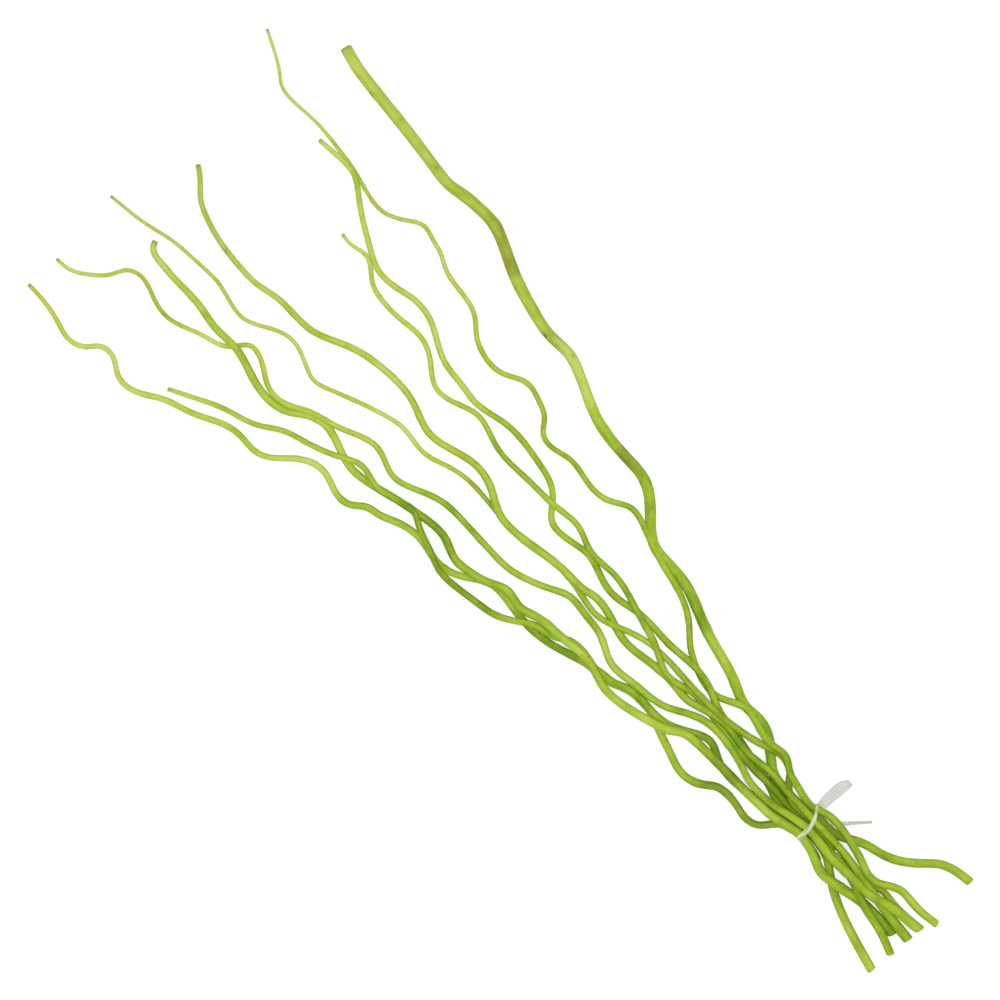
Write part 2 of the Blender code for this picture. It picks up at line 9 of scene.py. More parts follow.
import bpy
import numpy as np
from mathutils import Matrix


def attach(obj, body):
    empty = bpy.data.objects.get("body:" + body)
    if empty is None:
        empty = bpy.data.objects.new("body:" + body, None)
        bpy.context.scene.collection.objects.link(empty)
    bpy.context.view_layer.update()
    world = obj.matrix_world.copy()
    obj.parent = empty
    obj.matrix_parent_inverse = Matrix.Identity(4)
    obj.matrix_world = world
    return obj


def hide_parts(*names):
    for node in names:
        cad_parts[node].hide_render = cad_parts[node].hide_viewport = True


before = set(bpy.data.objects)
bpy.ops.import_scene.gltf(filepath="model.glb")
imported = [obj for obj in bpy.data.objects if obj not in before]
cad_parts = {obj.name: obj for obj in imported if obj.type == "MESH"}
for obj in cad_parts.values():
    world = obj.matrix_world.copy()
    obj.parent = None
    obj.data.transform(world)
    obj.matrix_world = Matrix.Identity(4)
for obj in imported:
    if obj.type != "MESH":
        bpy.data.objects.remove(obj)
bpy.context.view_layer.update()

# ------------------------------------------------------------------------------
# The willow stems. Ten one-year shoots of corkscrew willow, which grow curling, with a bud every few
# centimetres. They were peeled, dried and soaked in lime green dye, which takes unevenly: pale towards the
# thin tips, deep towards the butts, with an olive stain here and there. The dye's depth also carries
# painted shade: it is deeper where a stem lies under others and in the crevices round the band.
# ------------------------------------------------------------------------------

# Each stem: "route" is where its centre runs, as (along, across) from tip to cut end, "height" is how high
# the centre lies at some of those places, as (along, up), and "width" is its thickness, as (along, diameter).
# The dye table is how strongly the dye took, as (along, strength), 0 pale and 1 deep, with painted shade in
# it: deeper where a stem passes under others and in the crevices round the band. "olive" is the stain, the
# same way. "scars" are the marks of cut side twigs, as (along, turn round the stem, length), and "cut" is how
# far the shears were off square, as (sideways, upward). Turns and cuts are degrees.
STEMS = {}
STEMS["stem_outer_right"] = {
    "route": [
        (329.6, -136.4), (313, -132), (299, -130), (262, -126), (226, -121), (213, -120),
        (201, -122), (188, -123), (176, -123), (158, -117), (136, -107), (117, -101),
        (90, -96), (73, -96), (66, -94), (28, -78), (-6, -74), (-22, -72), (-33, -66),
        (-46, -54), (-59, -45), (-76, -43), (-94, -41), (-123, -30), (-148, -23),
        (-163, -18), (-179, -12), (-194, -12), (-207, -7), (-213, -2), (-218, 2),
        (-223, 5.8), (-229, 8.2), (-236, 9), (-248, 9.8), (-257, 9.2), (-267, 7.2),
        (-277, 7), (-284, 6.5), (-289, 4.5), (-297, 0), (-305, -3.5), (-313, -5.5),
        (-321, -8.06), (-339, -20.35), (-349, -29.35), (-373, -35.35),
    ],
    "height": [
        (328, 4), (260, 6), (200, 8), (120, 9), (40, 6), (-30, 4), (-90, 4), (-212, 4),
        (-240, 3.9), (-255, 4), (-280, 4), (-290, 3.6), (-310, 3.6), (-373, 3.1),
    ],
    "width": [
        (328, 7.9), (200, 8.1), (90, 7.8), (40, 7.4), (20, 7.1), (-10, 7.5), (-45, 7.4),
        (-75, 7.8), (-110, 7.3), (-200, 6.9), (-225, 6.7), (-250, 6.4), (-373, 6),
    ],
    "dye_and_shade": [
        (328, 0.1), (290, 0.25), (240, 0.25), (200, 0.4), (120, 0.37), (68, 0.15), (41, 0.1),
        (36, 0.48), (-15, 0.7), (-31, 0.66), (-40, 0.66), (-62, 0.52), (-90, 0.76),
        (-115, 0.86), (-142, 0.42), (-169, 0.75), (-195, 0.75), (-283, 0.95), (-300, 0.8),
        (-371, 0.6),
    ],
    "olive": [
        (376, 0.2), (200, 0.3), (182, 0.4), (172, 0.9), (155, 1), (139, 1.05), (136, 0.25),
        (99, 0.3), (96, 0.7), (84, 0.5), (80, 0.1), (60, 0.05), (9, 0.1), (4, 0.95),
        (-12, 1.15), (-20, 0.1), (-30, 0), (-36, 0.4), (-50, 0), (-240, 0), (-283, 0.5),
        (-310, 0.2), (-371, 0.1),
    ],
    "scars": [
        (95, 140, 3.4), (268, 70, 1.6), (-112, 200, 1.8),
    ],
    "cut": (8, -6),
}
STEMS["stem_thin_right"] = {
    "route": [
        (375, -107), (361, -100), (348, -92), (341, -87), (331, -85), (309, -86), (284, -84),
        (265, -81), (246, -76), (233, -75), (217, -82), (205, -88), (196, -86), (185, -83),
        (175, -78), (164, -75), (138, -69), (127, -60), (119, -56), (97, -55), (81, -62),
        (66, -59), (56, -54), (48, -45), (40, -43), (24, -46), (1, -43), (-15, -45),
        (-29, -52), (-45, -49), (-72, -40), (-95, -34), (-113, -24), (-123, -15), (-137, -7),
        (-161, -3), (-181, -11), (-196, -8), (-210, -6), (-223, -7), (-232, -1.5), (-244, 2),
        (-252, 4), (-260, 4.5), (-266, 2.5), (-270, 1), (-276, 0.3), (-282, 0.6),
        (-288, 1.4), (-295, 3), (-302, 4.7), (-310, 7.2), (-315, 9), (-319, 10.2),
        (-324, 10.3), (-328, 9.3), (-333, 6.5), (-343, 2), (-355, 2.47), (-377, 0.8),
    ],
    "height": [
        (375, 28), (320, 20), (272, 16), (230, 17), (180, 18), (130, 17), (80, 15), (30, 12),
        (-20, 10.5), (-60, 10.4), (-100, 6), (-128, 2.4), (-157, 2.6), (-165, 5.2),
        (-173, 9.2), (-181, 10.4), (-196, 11.4), (-212, 14.6), (-228, 15.2), (-246, 13.8),
        (-256, 13), (-267, 10.2), (-280, 10.7), (-300, 11), (-319, 13), (-343, 8.4),
        (-377, 4),
    ],
    "width": [
        (375, 2), (300, 2.4), (200, 3), (100, 3.5), (0, 3.9), (-100, 4.3), (-250, 4.9),
        (-377, 5.6),
    ],
    "dye_and_shade": [
        (375, 0.15), (341, 0.27), (311, 0.17), (283, 0.35), (255, 0.4), (228, 0.17),
        (203, 0.35), (176, 0.2), (149, 0.27), (125, 0.5), (97, 0.46), (67, 0.6), (48, 0.66),
        (20, 0.72), (-8, 0.52), (-34, 0.8), (-61, 0.5), (-88, 0.74), (-163, 0.7),
        (-189, 0.53), (-217, 0.85), (-325, 0.69), (-351, 0.42), (-376, 0.5),
    ],
    "olive": [
        (300, 0), (240, 0.3), (200, 0),
    ],
    "scars": [
        (189, 200, 1.2), (67, 160, 1.3),
    ],
    "cut": (-12, 5),
}
STEMS["stem_crossing_right"] = {
    "route": [
        (297, -79), (281, -80), (264, -79), (250, -70), (220, -51), (207, -45), (190, -45),
        (174, -48), (158, -46), (144, -39), (128, -32), (112, -30), (96, -28), (73, -32),
        (35, -29), (21, -25), (12, -18), (3, -8), (-9, -6), (-32, -9), (-53, -3), (-66, -2),
        (-81, -5), (-114, -5), (-141, -6), (-154, -3), (-166, 2), (-191, 7), (-212, 11),
        (-228, 14.4), (-235, 17), (-243, 19), (-254, 19.9), (-262, 19.3), (-267, 18.4),
        (-278, 19), (-286, 20.3), (-291.6, 22.1), (-296, 24.9), (-299.3, 27.3),
        (-303.6, 30.4), (-308, 33.2), (-330, 43.24), (-368, 54.55),
    ],
    "height": [
        (297, 22), (272, 20), (215, 17), (150, 12), (100, 8), (50, 4.5), (10, 3), (-30, 3),
        (-84, 3.2), (-110, 4.5), (-138, 7.5), (-158, 8), (-163, 7.7), (-175, 2.7),
        (-225, 2.7), (-245, 2.8), (-258, 3.4), (-274, 3.4), (-290, 3.2), (-300, 3.2),
        (-368, 3.25),
    ],
    "width": [
        (297, 3), (260, 3.8), (150, 4.1), (0, 4.4), (-100, 4.8), (-200, 5.1), (-260, 5.2),
        (-280, 5.4), (-292, 5.8), (-300, 6), (-368, 6.4),
    ],
    # Deeper from -168 to -240, where this stem lies under others by the band: painted shade.
    "dye_and_shade": [
        (287, 0.1), (256, 0.5), (233, 0.2), (181, 0.28), (154, 0.16), (129, 0.32),
        (101, 0.26), (73, 0.63), (46, 0.72), (10, 0.5), (-30, 0.7), (-142, 0.72),
        (-168, 0.72), (-199, 1), (-240, 0.85), (-308, 0.68), (-334, 0.5),
    ],
    "olive": [
        (-150, 0), (-180, 0.3), (-240, 0.2), (-290, 0.1), (-310, 0.35), (-345, 0.35),
        (-365, 0.1),
    ],
    "scars": [
        (85, 60, 1.3),
    ],
    "cut": (-10, 6),
}
STEMS["stem_short_right"] = {
    "route": [
        (241, -45), (233, -44), (219, -46), (203, -36), (188, -32), (172, -32), (153, -33),
        (139, -27), (122, -16), (106, -18), (89, -23), (65, -17), (35, -16), (4, -17),
        (-12, -18), (-30, -12), (-53, -12), (-83, -5), (-108, 3), (-118, 8), (-126, 11),
        (-136, 10), (-148, 7), (-163, 8), (-176, 10), (-190, 12), (-203, 13.5), (-215, 14.5),
        (-222, 14.3), (-230, 14.3), (-248, 15.5), (-255, 15.3), (-267, 13.3), (-279, 13.9),
        (-288, 14.9), (-292, 15.2),
    ],
    "height": [
        (241, 13), (215, 12), (150, 10), (100, 9), (50, 8), (10, 7.6), (-32, 6.9),
        (-84, 8.6), (-110, 9.95), (-124, 9.6), (-136, 8.4), (-148, 5.6), (-163, 2.8),
        (-178, 3), (-203, 6), (-215, 7.6), (-227, 8), (-240, 7.6), (-248, 6.3), (-255, 5.3),
        (-268, 4.4), (-286, 3.9), (-292, 3),
    ],
    "width": [
        (241, 2.5), (200, 3.3), (100, 3.7), (0, 4.1), (-100, 4.5), (-200, 4.9), (-240, 4.6),
        (-252, 4.2), (-292, 4.2),
    ],
    # From -225 to the cut end the depth is painted shade of the crevices round the band.
    "dye_and_shade": [
        (231, 0.12), (202, 0.3), (147, 0.26), (95, 0.42), (60, 0.7), (40, 0.6), (12, 0.47),
        (-42, 0.7), (-70, 0.78), (-145, 0.6), (-150, 0.68), (-200, 0.75), (-225, 1),
        (-262, 1.1), (-275, 0.8), (-290, 0.9),
    ],
    "olive": [
        (70, 0), (50, 0.5), (20, 0), (-5, 0), (-18, 0.5), (-35, 0),
    ],
    "scars": [
        (221, 120, 1.2), (84, 240, 1.1),
    ],
    "cut": (-9, 0),
}
STEMS["stem_centre"] = {
    "route": [
        (343, -9), (336, -4), (324, 7), (314, 12), (292, 18), (274, 20), (257, 20),
        (241, 17), (209, 16), (193, 10), (178, 4), (155, 0), (126, 2), (104, 9), (85, 6),
        (67, 2), (47, 6), (34, 13), (4, 14), (-33, 10), (-44, 10), (-54, 8), (-74, 11),
        (-90, 15), (-106, 14), (-122, 12), (-135, 12), (-148, 13), (-163, 9), (-184, 7),
        (-207, 9.5), (-222, 7.5), (-236, 8.5), (-248, 9.5), (-261, 10), (-276, 10.6),
        (-291, 10.9), (-305, 12.4), (-312, 13.8), (-331, 17), (-350, 20), (-371, 22.3),
    ],
    "height": [
        (343, 34), (300, 28), (250, 22), (200, 17), (150, 13), (100, 10), (43, 8),
        (-40, 8.2), (-78, 3.6), (-124, 3.2), (-136, 3.4), (-148, 5), (-163, 8.6), (-178, 9),
        (-204, 10.4), (-222, 12.8), (-240, 15.4), (-252, 15.4), (-267, 15.2), (-280, 14.6),
        (-290, 13.6), (-295, 12.9), (-300, 11.6), (-312, 8.5), (-330, 8.6), (-350, 8),
        (-371, 6.6),
    ],
    "width": [
        (343, 3.3), (290, 3.8), (200, 4.4), (100, 4.9), (0, 5.2), (-150, 5.5), (-200, 4.8),
        (-240, 4.8), (-267, 4.8), (-295, 4.8), (-312, 5.4), (-335, 6.1), (-371, 6.7),
    ],
    "dye_and_shade": [
        (335, 0.38), (253, 0.24), (225, 0.48), (172, 0.33), (144, 0.19), (134, 0.36),
        (116, 0.4), (62, 0.47), (8, 0.53), (-20, 0.41), (-75, 0.63), (-158, 0.6),
        (-190, 0.85), (-297, 0.68), (-371, 0.75),
    ],
    "olive": [
        (335, 0.3), (290, 0.3), (260, 0),
    ],
    "scars": [
        (135, 130, 1.3), (67, 60, 1.4),
    ],
    "cut": (6, -9),
}
STEMS["stem_thin_centre"] = {
    "route": [
        (370, 48), (361, 47), (343, 45), (320, 40), (294, 38), (277, 38), (248, 43),
        (224, 32), (215, 30), (199, 34), (184, 39), (173, 36), (144, 25), (131, 21),
        (119, 19), (97, 21), (79, 16), (65, 13), (50, 13), (29, 15), (12, 16), (-26, 11),
        (-49, 14), (-63, 16), (-89, 8), (-105, 4), (-133, 4), (-166, 5), (-186, 3),
        (-202, -0.3), (-212, -3.5), (-220, -5.3), (-224, -5), (-229, -3.4), (-232, -1.8),
        (-234, 0.5), (-237, 4), (-241, 8), (-245, 11), (-250, 12.4), (-256, 12.3),
        (-262, 11.4), (-267, 10.5), (-273, 10.1), (-279, 10), (-289, 11), (-299, 12.5),
        (-310, 13.9), (-319, 13.7), (-328, 12.2), (-336, 11), (-344, 11.8), (-357, 12.3),
        (-369, 12.9),
    ],
    "height": [
        (370, 24), (320, 20), (270, 15), (220, 10), (150, 6), (100, 4), (50, 3.2), (-33, 3),
        (-56, 6), (-78, 8.8), (-96, 7), (-110, 5.1), (-130, 7.5), (-142, 10.4), (-148, 11.4),
        (-175, 13.8), (-195, 11.5), (-212, 10), (-228, 10), (-245, 9.9), (-252, 10.2),
        (-267, 9.9), (-280, 9.4), (-287, 8.6), (-292, 7.9), (-300, 5.4), (-308, 3),
        (-369, 2.6),
    ],
    "width": [
        (370, 2), (320, 2.4), (200, 2.9), (80, 3.3), (0, 3.7), (-100, 4.1), (-200, 4.5),
        (-300, 4.8), (-369, 4.9),
    ],
    "dye_and_shade": [
        (360, 0.15), (328, 0.15), (273, 0.28), (193, 0.13), (166, 0.38), (140, 0.13),
        (112, 0.03), (86, 0.36), (31, 0.6), (3, 0.41), (-25, 0.41), (-53, 0.62),
        (-109, 0.45), (-134, 0.6), (-217, 0.73), (-245, 0.95), (-275, 0.95), (-310, 0.8),
        (-353, 0.76),
    ],
    "olive": [
        (360, 0.4), (320, 0.3), (290, 0.1), (70, 0), (50, 0.6), (20, 0), (-110, 0),
        (-130, 0.4), (-220, 0.4), (-260, 0),
    ],
    "scars": [
        (60, 90, 1),
    ],
    "cut": (5, 12),
}
STEMS["stem_pale_left"] = {
    "route": [
        (327, 48), (325, 52), (313, 56), (299, 57), (275, 58), (257, 61), (238, 61),
        (212, 68), (197, 70), (183, 67), (171, 59), (159, 55), (146, 57), (127, 63),
        (101, 60), (85, 56), (70, 53), (45, 52), (31, 57), (17, 56), (3, 52), (-10, 47),
        (-23, 49), (-35, 46), (-61, 43), (-84, 42), (-101, 47), (-116, 47), (-145, 40),
        (-153, 37), (-160, 32), (-175, 29), (-210, 29), (-229, 28.8), (-237, 28.5),
        (-243, 28.3), (-251, 26.5), (-257, 25), (-267, 23.5), (-275, 24.7), (-281, 26.2),
        (-286, 28.3), (-291, 30.3), (-296, 31.8), (-301, 31.5), (-310, 30.2), (-326, 27),
        (-342, 26), (-361, 27.3),
    ],
    "height": [
        (327, 26), (290, 20), (260, 13), (240, 9.5), (197, 6), (165, 5), (133, 4.6), (93, 4),
        (60, 5), (30, 8), (8, 9.4), (-26, 9), (-45, 10.8), (-56, 12.3), (-62, 12.8),
        (-80, 14.1), (-92, 14.2), (-140, 11.7), (-147, 11.3), (-160, 9.8), (-170, 9.6),
        (-212, 9.2), (-243, 10.9), (-249, 11.5), (-257, 11.6), (-267, 11.3), (-290, 10.5),
        (-306, 10), (-311, 8.4), (-318, 6), (-326, 5), (-340, 4), (-361, 3.6),
    ],
    "width": [
        (327, 4.2), (300, 4.7), (230, 5.2), (100, 5.4), (-60, 5.6), (-200, 6), (-290, 6.5),
        (-361, 6.6),
    ],
    "dye_and_shade": [
        (321, 0.2), (260, 0.47), (232, 0.38), (201, 0.45), (153, 0.28), (98, 0.62),
        (43, 0.9), (16, 0.62), (-30, 0.66), (-38, 0.58), (-66, 0.36), (-93, 0.62),
        (-121, 0.36), (-148, 0.41), (-174, 0.63), (-202, 0.85), (-230, 0.44), (-266, 0.6),
        (-295, 0.62), (-324, 0.85), (-350, 1.05),
    ],
    "olive": [
        (240, 0), (228, 0.5), (205, 0), (-165, 0), (-190, 0.5), (-215, 0.2), (-240, 0),
    ],
    "scars": [
        (110, 100, 1.4), (-80, 60, 1.5),
    ],
    "cut": (14, 10),
}
STEMS["stem_long_left"] = {
    "route": [
        (366, 104), (355, 103), (343, 96), (333, 86), (326, 75), (318, 72), (299, 77),
        (285, 79), (260, 71), (241, 63), (232, 53), (221, 54), (203, 64), (191, 65),
        (171, 56), (151, 50), (120, 41), (100, 47), (87, 44), (66, 36), (42, 35), (18, 36),
        (3, 36), (-14, 32), (-30, 25), (-42, 20), (-58, 21), (-76, 24), (-94, 32),
        (-115, 31), (-140, 27.2), (-158, 18), (-172, 14), (-190, 15), (-208, 19.5),
        (-214, 21.6), (-220, 22.8), (-226, 23.2), (-232, 23), (-238, 22.3), (-248, 20.5),
        (-258, 18.4), (-267, 17.2), (-277, 17.6), (-286, 19), (-294, 19.9), (-303, 19.6),
        (-311, 19.4), (-319, 19.7), (-328, 19.3), (-334, 18), (-346, 14.7), (-353, 13.4),
        (-361, 12.8), (-372, 11.5),
    ],
    "height": [
        (366, 20), (320, 14), (270, 6), (240, 4.5), (200, 8.8), (165, 10.2), (120, 11),
        (60, 11), (0, 10.5), (-40, 10), (-58, 9.8), (-90, 9.2), (-100, 10.5), (-122, 11.4),
        (-160, 11.6), (-195, 12.5), (-215, 14.4), (-250, 15.5), (-257, 15.5), (-267, 15.2),
        (-278, 15.1), (-300, 14.8), (-311, 15.3), (-320, 15.5), (-335, 15.2), (-347, 13.7),
        (-372, 9),
    ],
    "width": [
        (366, 2.4), (320, 2.8), (220, 3.5), (80, 4.2), (-60, 4.7), (-170, 4.9), (-195, 4.6),
        (-215, 4.3), (-240, 4.9), (-260, 5.7), (-285, 6.1), (-330, 6.1), (-372, 6.6),
    ],
    "dye_and_shade": [
        (356, 0.17), (309, 0.46), (282, 0.42), (255, 0.05), (233, 0.38), (155, 0.33),
        (101, 0.48), (47, 0.78), (19, 0.57), (-9, 0.52), (-32, 0.6), (-61, 0.67),
        (-88, 0.33), (-115, 0.52), (-168, 0.68), (-206, 0.66), (-223, 0.62), (-235, 0.85),
        (-252, 0.68), (-334, 0.72), (-361, 0.58),
    ],
    "olive": [
        (330, 0), (290, 0.3), (270, 0),
    ],
    "scars": [
        (140, 120, 1.2),
    ],
    "cut": (21, 0),
}
STEMS["stem_outer_left"] = {
    "route": [
        (368, 130), (350, 131), (336, 134), (322, 137), (311, 133), (303, 125), (293, 124),
        (280, 131), (265, 130), (249, 121), (227, 113), (208, 104), (195, 101), (177, 101),
        (166, 95), (154, 84), (136, 78), (117, 83), (107, 81), (99, 75), (88, 72), (78, 68),
        (60, 64), (33, 67), (16, 60), (2, 52), (-16, 52), (-42, 54), (-63, 50), (-86, 43.7),
        (-96, 43), (-105, 41), (-115, 37), (-127, 36), (-139, 37), (-150, 41.5),
        (-164, 46.3), (-181, 51), (-197, 46), (-204, 41), (-213, 39.3), (-222, 40),
        (-231, 41.8), (-237, 41.6), (-242, 39.6), (-247, 34.5), (-253, 28), (-260, 25.4),
        (-267, 24), (-275, 24.6), (-280, 25.3), (-285, 26.5), (-289, 27.8),
    ],
    "height": [
        (368, 1.45), (330, 4), (300, 7), (265, 8), (230, 5), (200, 3), (150, 2.8), (100, 5),
        (45, 3), (0, 3), (-40, 3), (-90, 3.1), (-140, 3), (-190, 4.2), (-230, 3.2),
        (-255, 4.6), (-262, 5.2), (-267, 5.1), (-280, 4), (-289, 3),
    ],
    "width": [
        (368, 2.8), (345, 3.4), (250, 4.1), (100, 4.8), (-50, 5.3), (-200, 5.6), (-240, 5.1),
        (-260, 5.4), (-289, 5.4),
    ],
    "dye_and_shade": [
        (358, 0.35), (327, 0.27), (303, 0.07), (250, 0.23), (198, 0.45), (190, 0.55),
        (171, 0.28), (149, 0.04), (122, 0.36), (108, 0.6), (70, 0.55), (42, 0.58),
        (16, 0.47), (-11, 0.6), (-39, 0.95), (-67, 0.9), (-94, 0.75), (-150, 0.38),
        (-177, 0.72), (-237, 0.9), (-262, 0.95), (-291, 0.7),
    ],
    "olive": [
        (-80, 0), (-94, 0.3), (-110, 0), (-180, 0), (-200, 0.4), (-240, 0.3), (-260, 0),
    ],
    "scars": [
        (200, 80, 1.2),
    ],
    "cut": (10, 8),
}
STEMS["stem_short_left"] = {
    "route": [
        (250, 113), (232, 104), (212, 95), (191, 88), (175, 78), (157, 72), (133, 62),
        (121, 57), (100, 60), (92, 58), (83, 56), (75, 54), (63, 59), (47, 65), (33, 70),
        (18, 70), (-4, 67), (-14, 65), (-29, 57), (-41, 50), (-53, 47), (-64, 41),
        (-75, 39.8), (-82, 41), (-88, 42.3), (-94, 41.5), (-105, 40), (-115, 36), (-127, 35),
        (-144, 35.5), (-160, 30.3), (-180, 22), (-195, 28), (-225, 28), (-245, 23),
        (-258, 18), (-267, 17), (-284, 17.5), (-299, 17.9), (-306, 18.7), (-311, 19.7),
        (-315, 20.7), (-319, 22), (-324, 24), (-331, 26.7), (-350, 31), (-369, 38),
    ],
    "height": [
        (250, 30), (190, 18), (133, 9.8), (93, 9.8), (70, 9.7), (45, 8.6), (10, 9),
        (-35, 8.4), (-62, 6.6), (-86, 8.4), (-92, 8.4), (-100, 8.5), (-122, 8.6),
        (-139, 8.6), (-144, 7.7), (-147, 6.6), (-152, 5.2), (-165, 3.2), (-232, 3),
        (-238, 3.8), (-243, 6.5), (-249, 8.6), (-255, 9.4), (-260, 9.4), (-267, 9.1),
        (-278, 9), (-287, 8.5), (-303, 8.1), (-311, 8.5), (-315, 8.7), (-319, 9.5),
        (-324, 10.8), (-328, 11.6), (-333, 11.5), (-340, 10), (-350, 8.2), (-369, 4.2),
    ],
    "width": [
        (250, 2.7), (220, 3.5), (100, 4.1), (-50, 4.8), (-200, 5.3), (-369, 5.7),
    ],
    "dye_and_shade": [
        (241, 0.28), (212, 0.47), (108, 0.53), (102, 0.62), (73, 1), (54, 0.82), (0, 0.97),
        (-27, 0.58), (-40, 0.72), (-52, 0.73), (-68, 0.62), (-78, 0.62), (-98, 0.72),
        (-133, 0.8), (-160, 0.72), (-187, 0.94), (-243, 1.1), (-296, 0.68), (-331, 0.85),
        (-351, 0.71),
    ],
    "olive": [
        (60, 0), (40, 0.3), (10, 0),
    ],
    "scars": [
        (150, 140, 1.2),
    ],
    "cut": (8, 4),
}

MM = 0.001
# The middle of the bunch's footprint and its lowest point in route millimetres: the origin goes there.
FOOTPRINT_MIDDLE = np.array((-1.0, -0.72, 0.0492))
ROUTE_STEP = 0.4
RING_SPACING = 0.8
STEM_SIDES = 24
# Each stem's waves and buds start this many radians on from the last stem's, so that no two are alike.
STEM_PHASE = 1.7

# Buds sit this many mm and diameters apart, each moved by up to a quarter of the gap. A leaf sits 2/5 of a
# turn round from the one before it.
BUD_GAP = 9.0
BUD_GAP_DIAMETERS = 3.0
BUD_GAP_SWING = 0.25
BUD_GAP_BEAT = 2.4
LEAF_TURN = 144.0

# How far the skin stands proud of a plain round rod, in radii: the bud's swelling, the ring of the node round
# it, two waves along the shoot, and its slightly oval section. A pace is the millimetres to one radian.
BUD_SWELLING = 0.09
NODE_SWELLING = 0.035
LONG_WAVE = 0.02
LONG_WAVE_PACE = 23.0
SHORT_WAVE = 0.015
SHORT_WAVE_PACE = 9.7
OVAL = 0.02
OVAL_PACE = 60.0

# How long a node's ring, a bud and a leaf's scar are, as (radii, plus millimetres), and how far round the
# stem the bud and the scar reach, in radians. The scar lies half a radius nearer the tip than its bud.
NODE_LENGTH = (1.3, 0.6)
BUD_LENGTH = (0.8, 0.5)
BUD_TURN = 0.55
LEAF_SCAR_LENGTH = (0.3, 0.25)
LEAF_SCAR_TURN = 0.3
LEAF_SCAR_OFFSET = 0.5
LEAF_SCAR_STRENGTH = 0.45
# The snipped tip has dried and browned over its last few millimetres.
TIP_BROWNING = 0.5
TIP_BROWNING_LENGTH = 2.4

# Each end's rim turns in on a quarter circle of this many radii, in steps of these degrees, and rings of
# these radii close its face.
RIM = 0.4
RIM_TURNS = (15, 30, 45, 60, 75, 90)
FACE_RINGS = (0.5, 0.4, 0.25, 0.12)
# How many radii up from the butt the shears' slant is felt, and how near the butt a point must be to feel it.
SLANT_REACH = 4.0
SLANT_LIMIT = 8.0


def smooth_curve(points, step):
    """A natural cubic spline through the points, over the length of the straight lines that join them.

    Its second derivatives m solve h[i-1] m[i-1] + 2 (h[i-1] + h[i]) m[i] + h[i] m[i+1] = 6 (d[i] - d[i-1]),
    with h the lengths and d the slopes of the lines and m = 0 at both ends. It is read about every `step`.
    """
    points = np.array(points, float)
    along = np.append(0.0, np.cumsum(np.linalg.norm(np.diff(points[:, :2], axis=0), axis=1)))
    length = np.diff(along)
    slope = np.diff(points, axis=0) / length[:, None]
    inner = np.arange(1, len(points) - 1)
    system = np.eye(len(points))
    system[inner, inner - 1] = length[:-1]
    system[inner, inner] = 2 * (length[:-1] + length[1:])
    system[inner, inner + 1] = length[1:]
    wanted = np.zeros_like(points)
    wanted[1:-1] = 6 * np.diff(slope, axis=0)
    bend = np.linalg.solve(system, wanted)
    reach = np.linspace(0.0, along[-1], int(round(along[-1] / step)) + 1)
    span = np.clip(np.searchsorted(along, reach, side="right") - 1, 0, len(length) - 1)
    size = length[span][:, None]
    after = (reach - along[span])[:, None]
    before = size - after
    cubic = (bend[span] * before**3 + bend[span + 1] * after**3) / (6 * size)
    line = (points[span] / size - bend[span] * size / 6) * before
    return cubic + line + (points[span + 1] / size - bend[span + 1] * size / 6) * after


def eased(stations, along):
    """A monotone cubic through (along, value) stations, so that it never rises above or sinks below them.

    Each station's slope is the harmonic mean of the slopes on its two sides, or 0 at a summit or a dip.
    """
    places, values = np.array(sorted(stations), float).T
    gap = np.diff(places)
    slope = np.diff(values) / gap
    product = slope[:-1] * slope[1:]
    rising_on = product > 0
    total = np.where(rising_on, slope[:-1] + slope[1:], 1.0)
    tangent = np.concatenate([slope[:1], np.where(rising_on, 2 * product / total, 0.0), slope[-1:]])
    span = np.clip(np.searchsorted(places, along, side="right") - 1, 0, len(gap) - 1)
    size = gap[span]
    t = np.clip((along - places[span]) / size, 0.0, 1.0)
    ends = values[span] * (1 + 2 * t) * (1 - t) ** 2 + values[span + 1] * t * t * (3 - 2 * t)
    return ends + size * (tangent[span] * t * (1 - t) ** 2 - tangent[span + 1] * t * t * (1 - t))


def straight(stations, along):
    """Straight lines through (along, value) stations, and the end value beyond the first and the last."""
    return np.interp(along, *np.array(sorted(stations), float).T)


def unit(vectors):
    """Each vector divided by its length."""
    return vectors / np.linalg.norm(vectors, axis=-1, keepdims=True)


def run_so_far(points):
    """The length of the line from its first point to each of its points: 0, then the sum of the steps."""
    return np.append(0.0, np.cumsum(np.linalg.norm(np.diff(points, axis=0), axis=1)))


def bump(distance, width):
    """A soft round bump, exp(-(distance / width)^2)."""
    return np.exp(-((distance / width) ** 2))


def round_difference(a, b):
    """The angle from b to a, between -pi and pi."""
    return (a - b + math.pi) % (2 * math.pi) - math.pi


def stem_line(stem):
    """A stem's centre points from tip to cut end, evenly spaced, and the radius and run so far at each."""
    centre = smooth_curve(stem["route"], ROUTE_STEP)
    centre = np.column_stack([centre, eased(stem["height"], centre[:, 0])])
    run = run_so_far(centre)
    reach = np.linspace(0.0, run[-1], int(run[-1] / RING_SPACING) + 1)
    centre = np.column_stack([np.interp(reach, run, axis) for axis in centre.T])
    return centre, straight(stem["width"], centre[:, 0]) / 2, reach


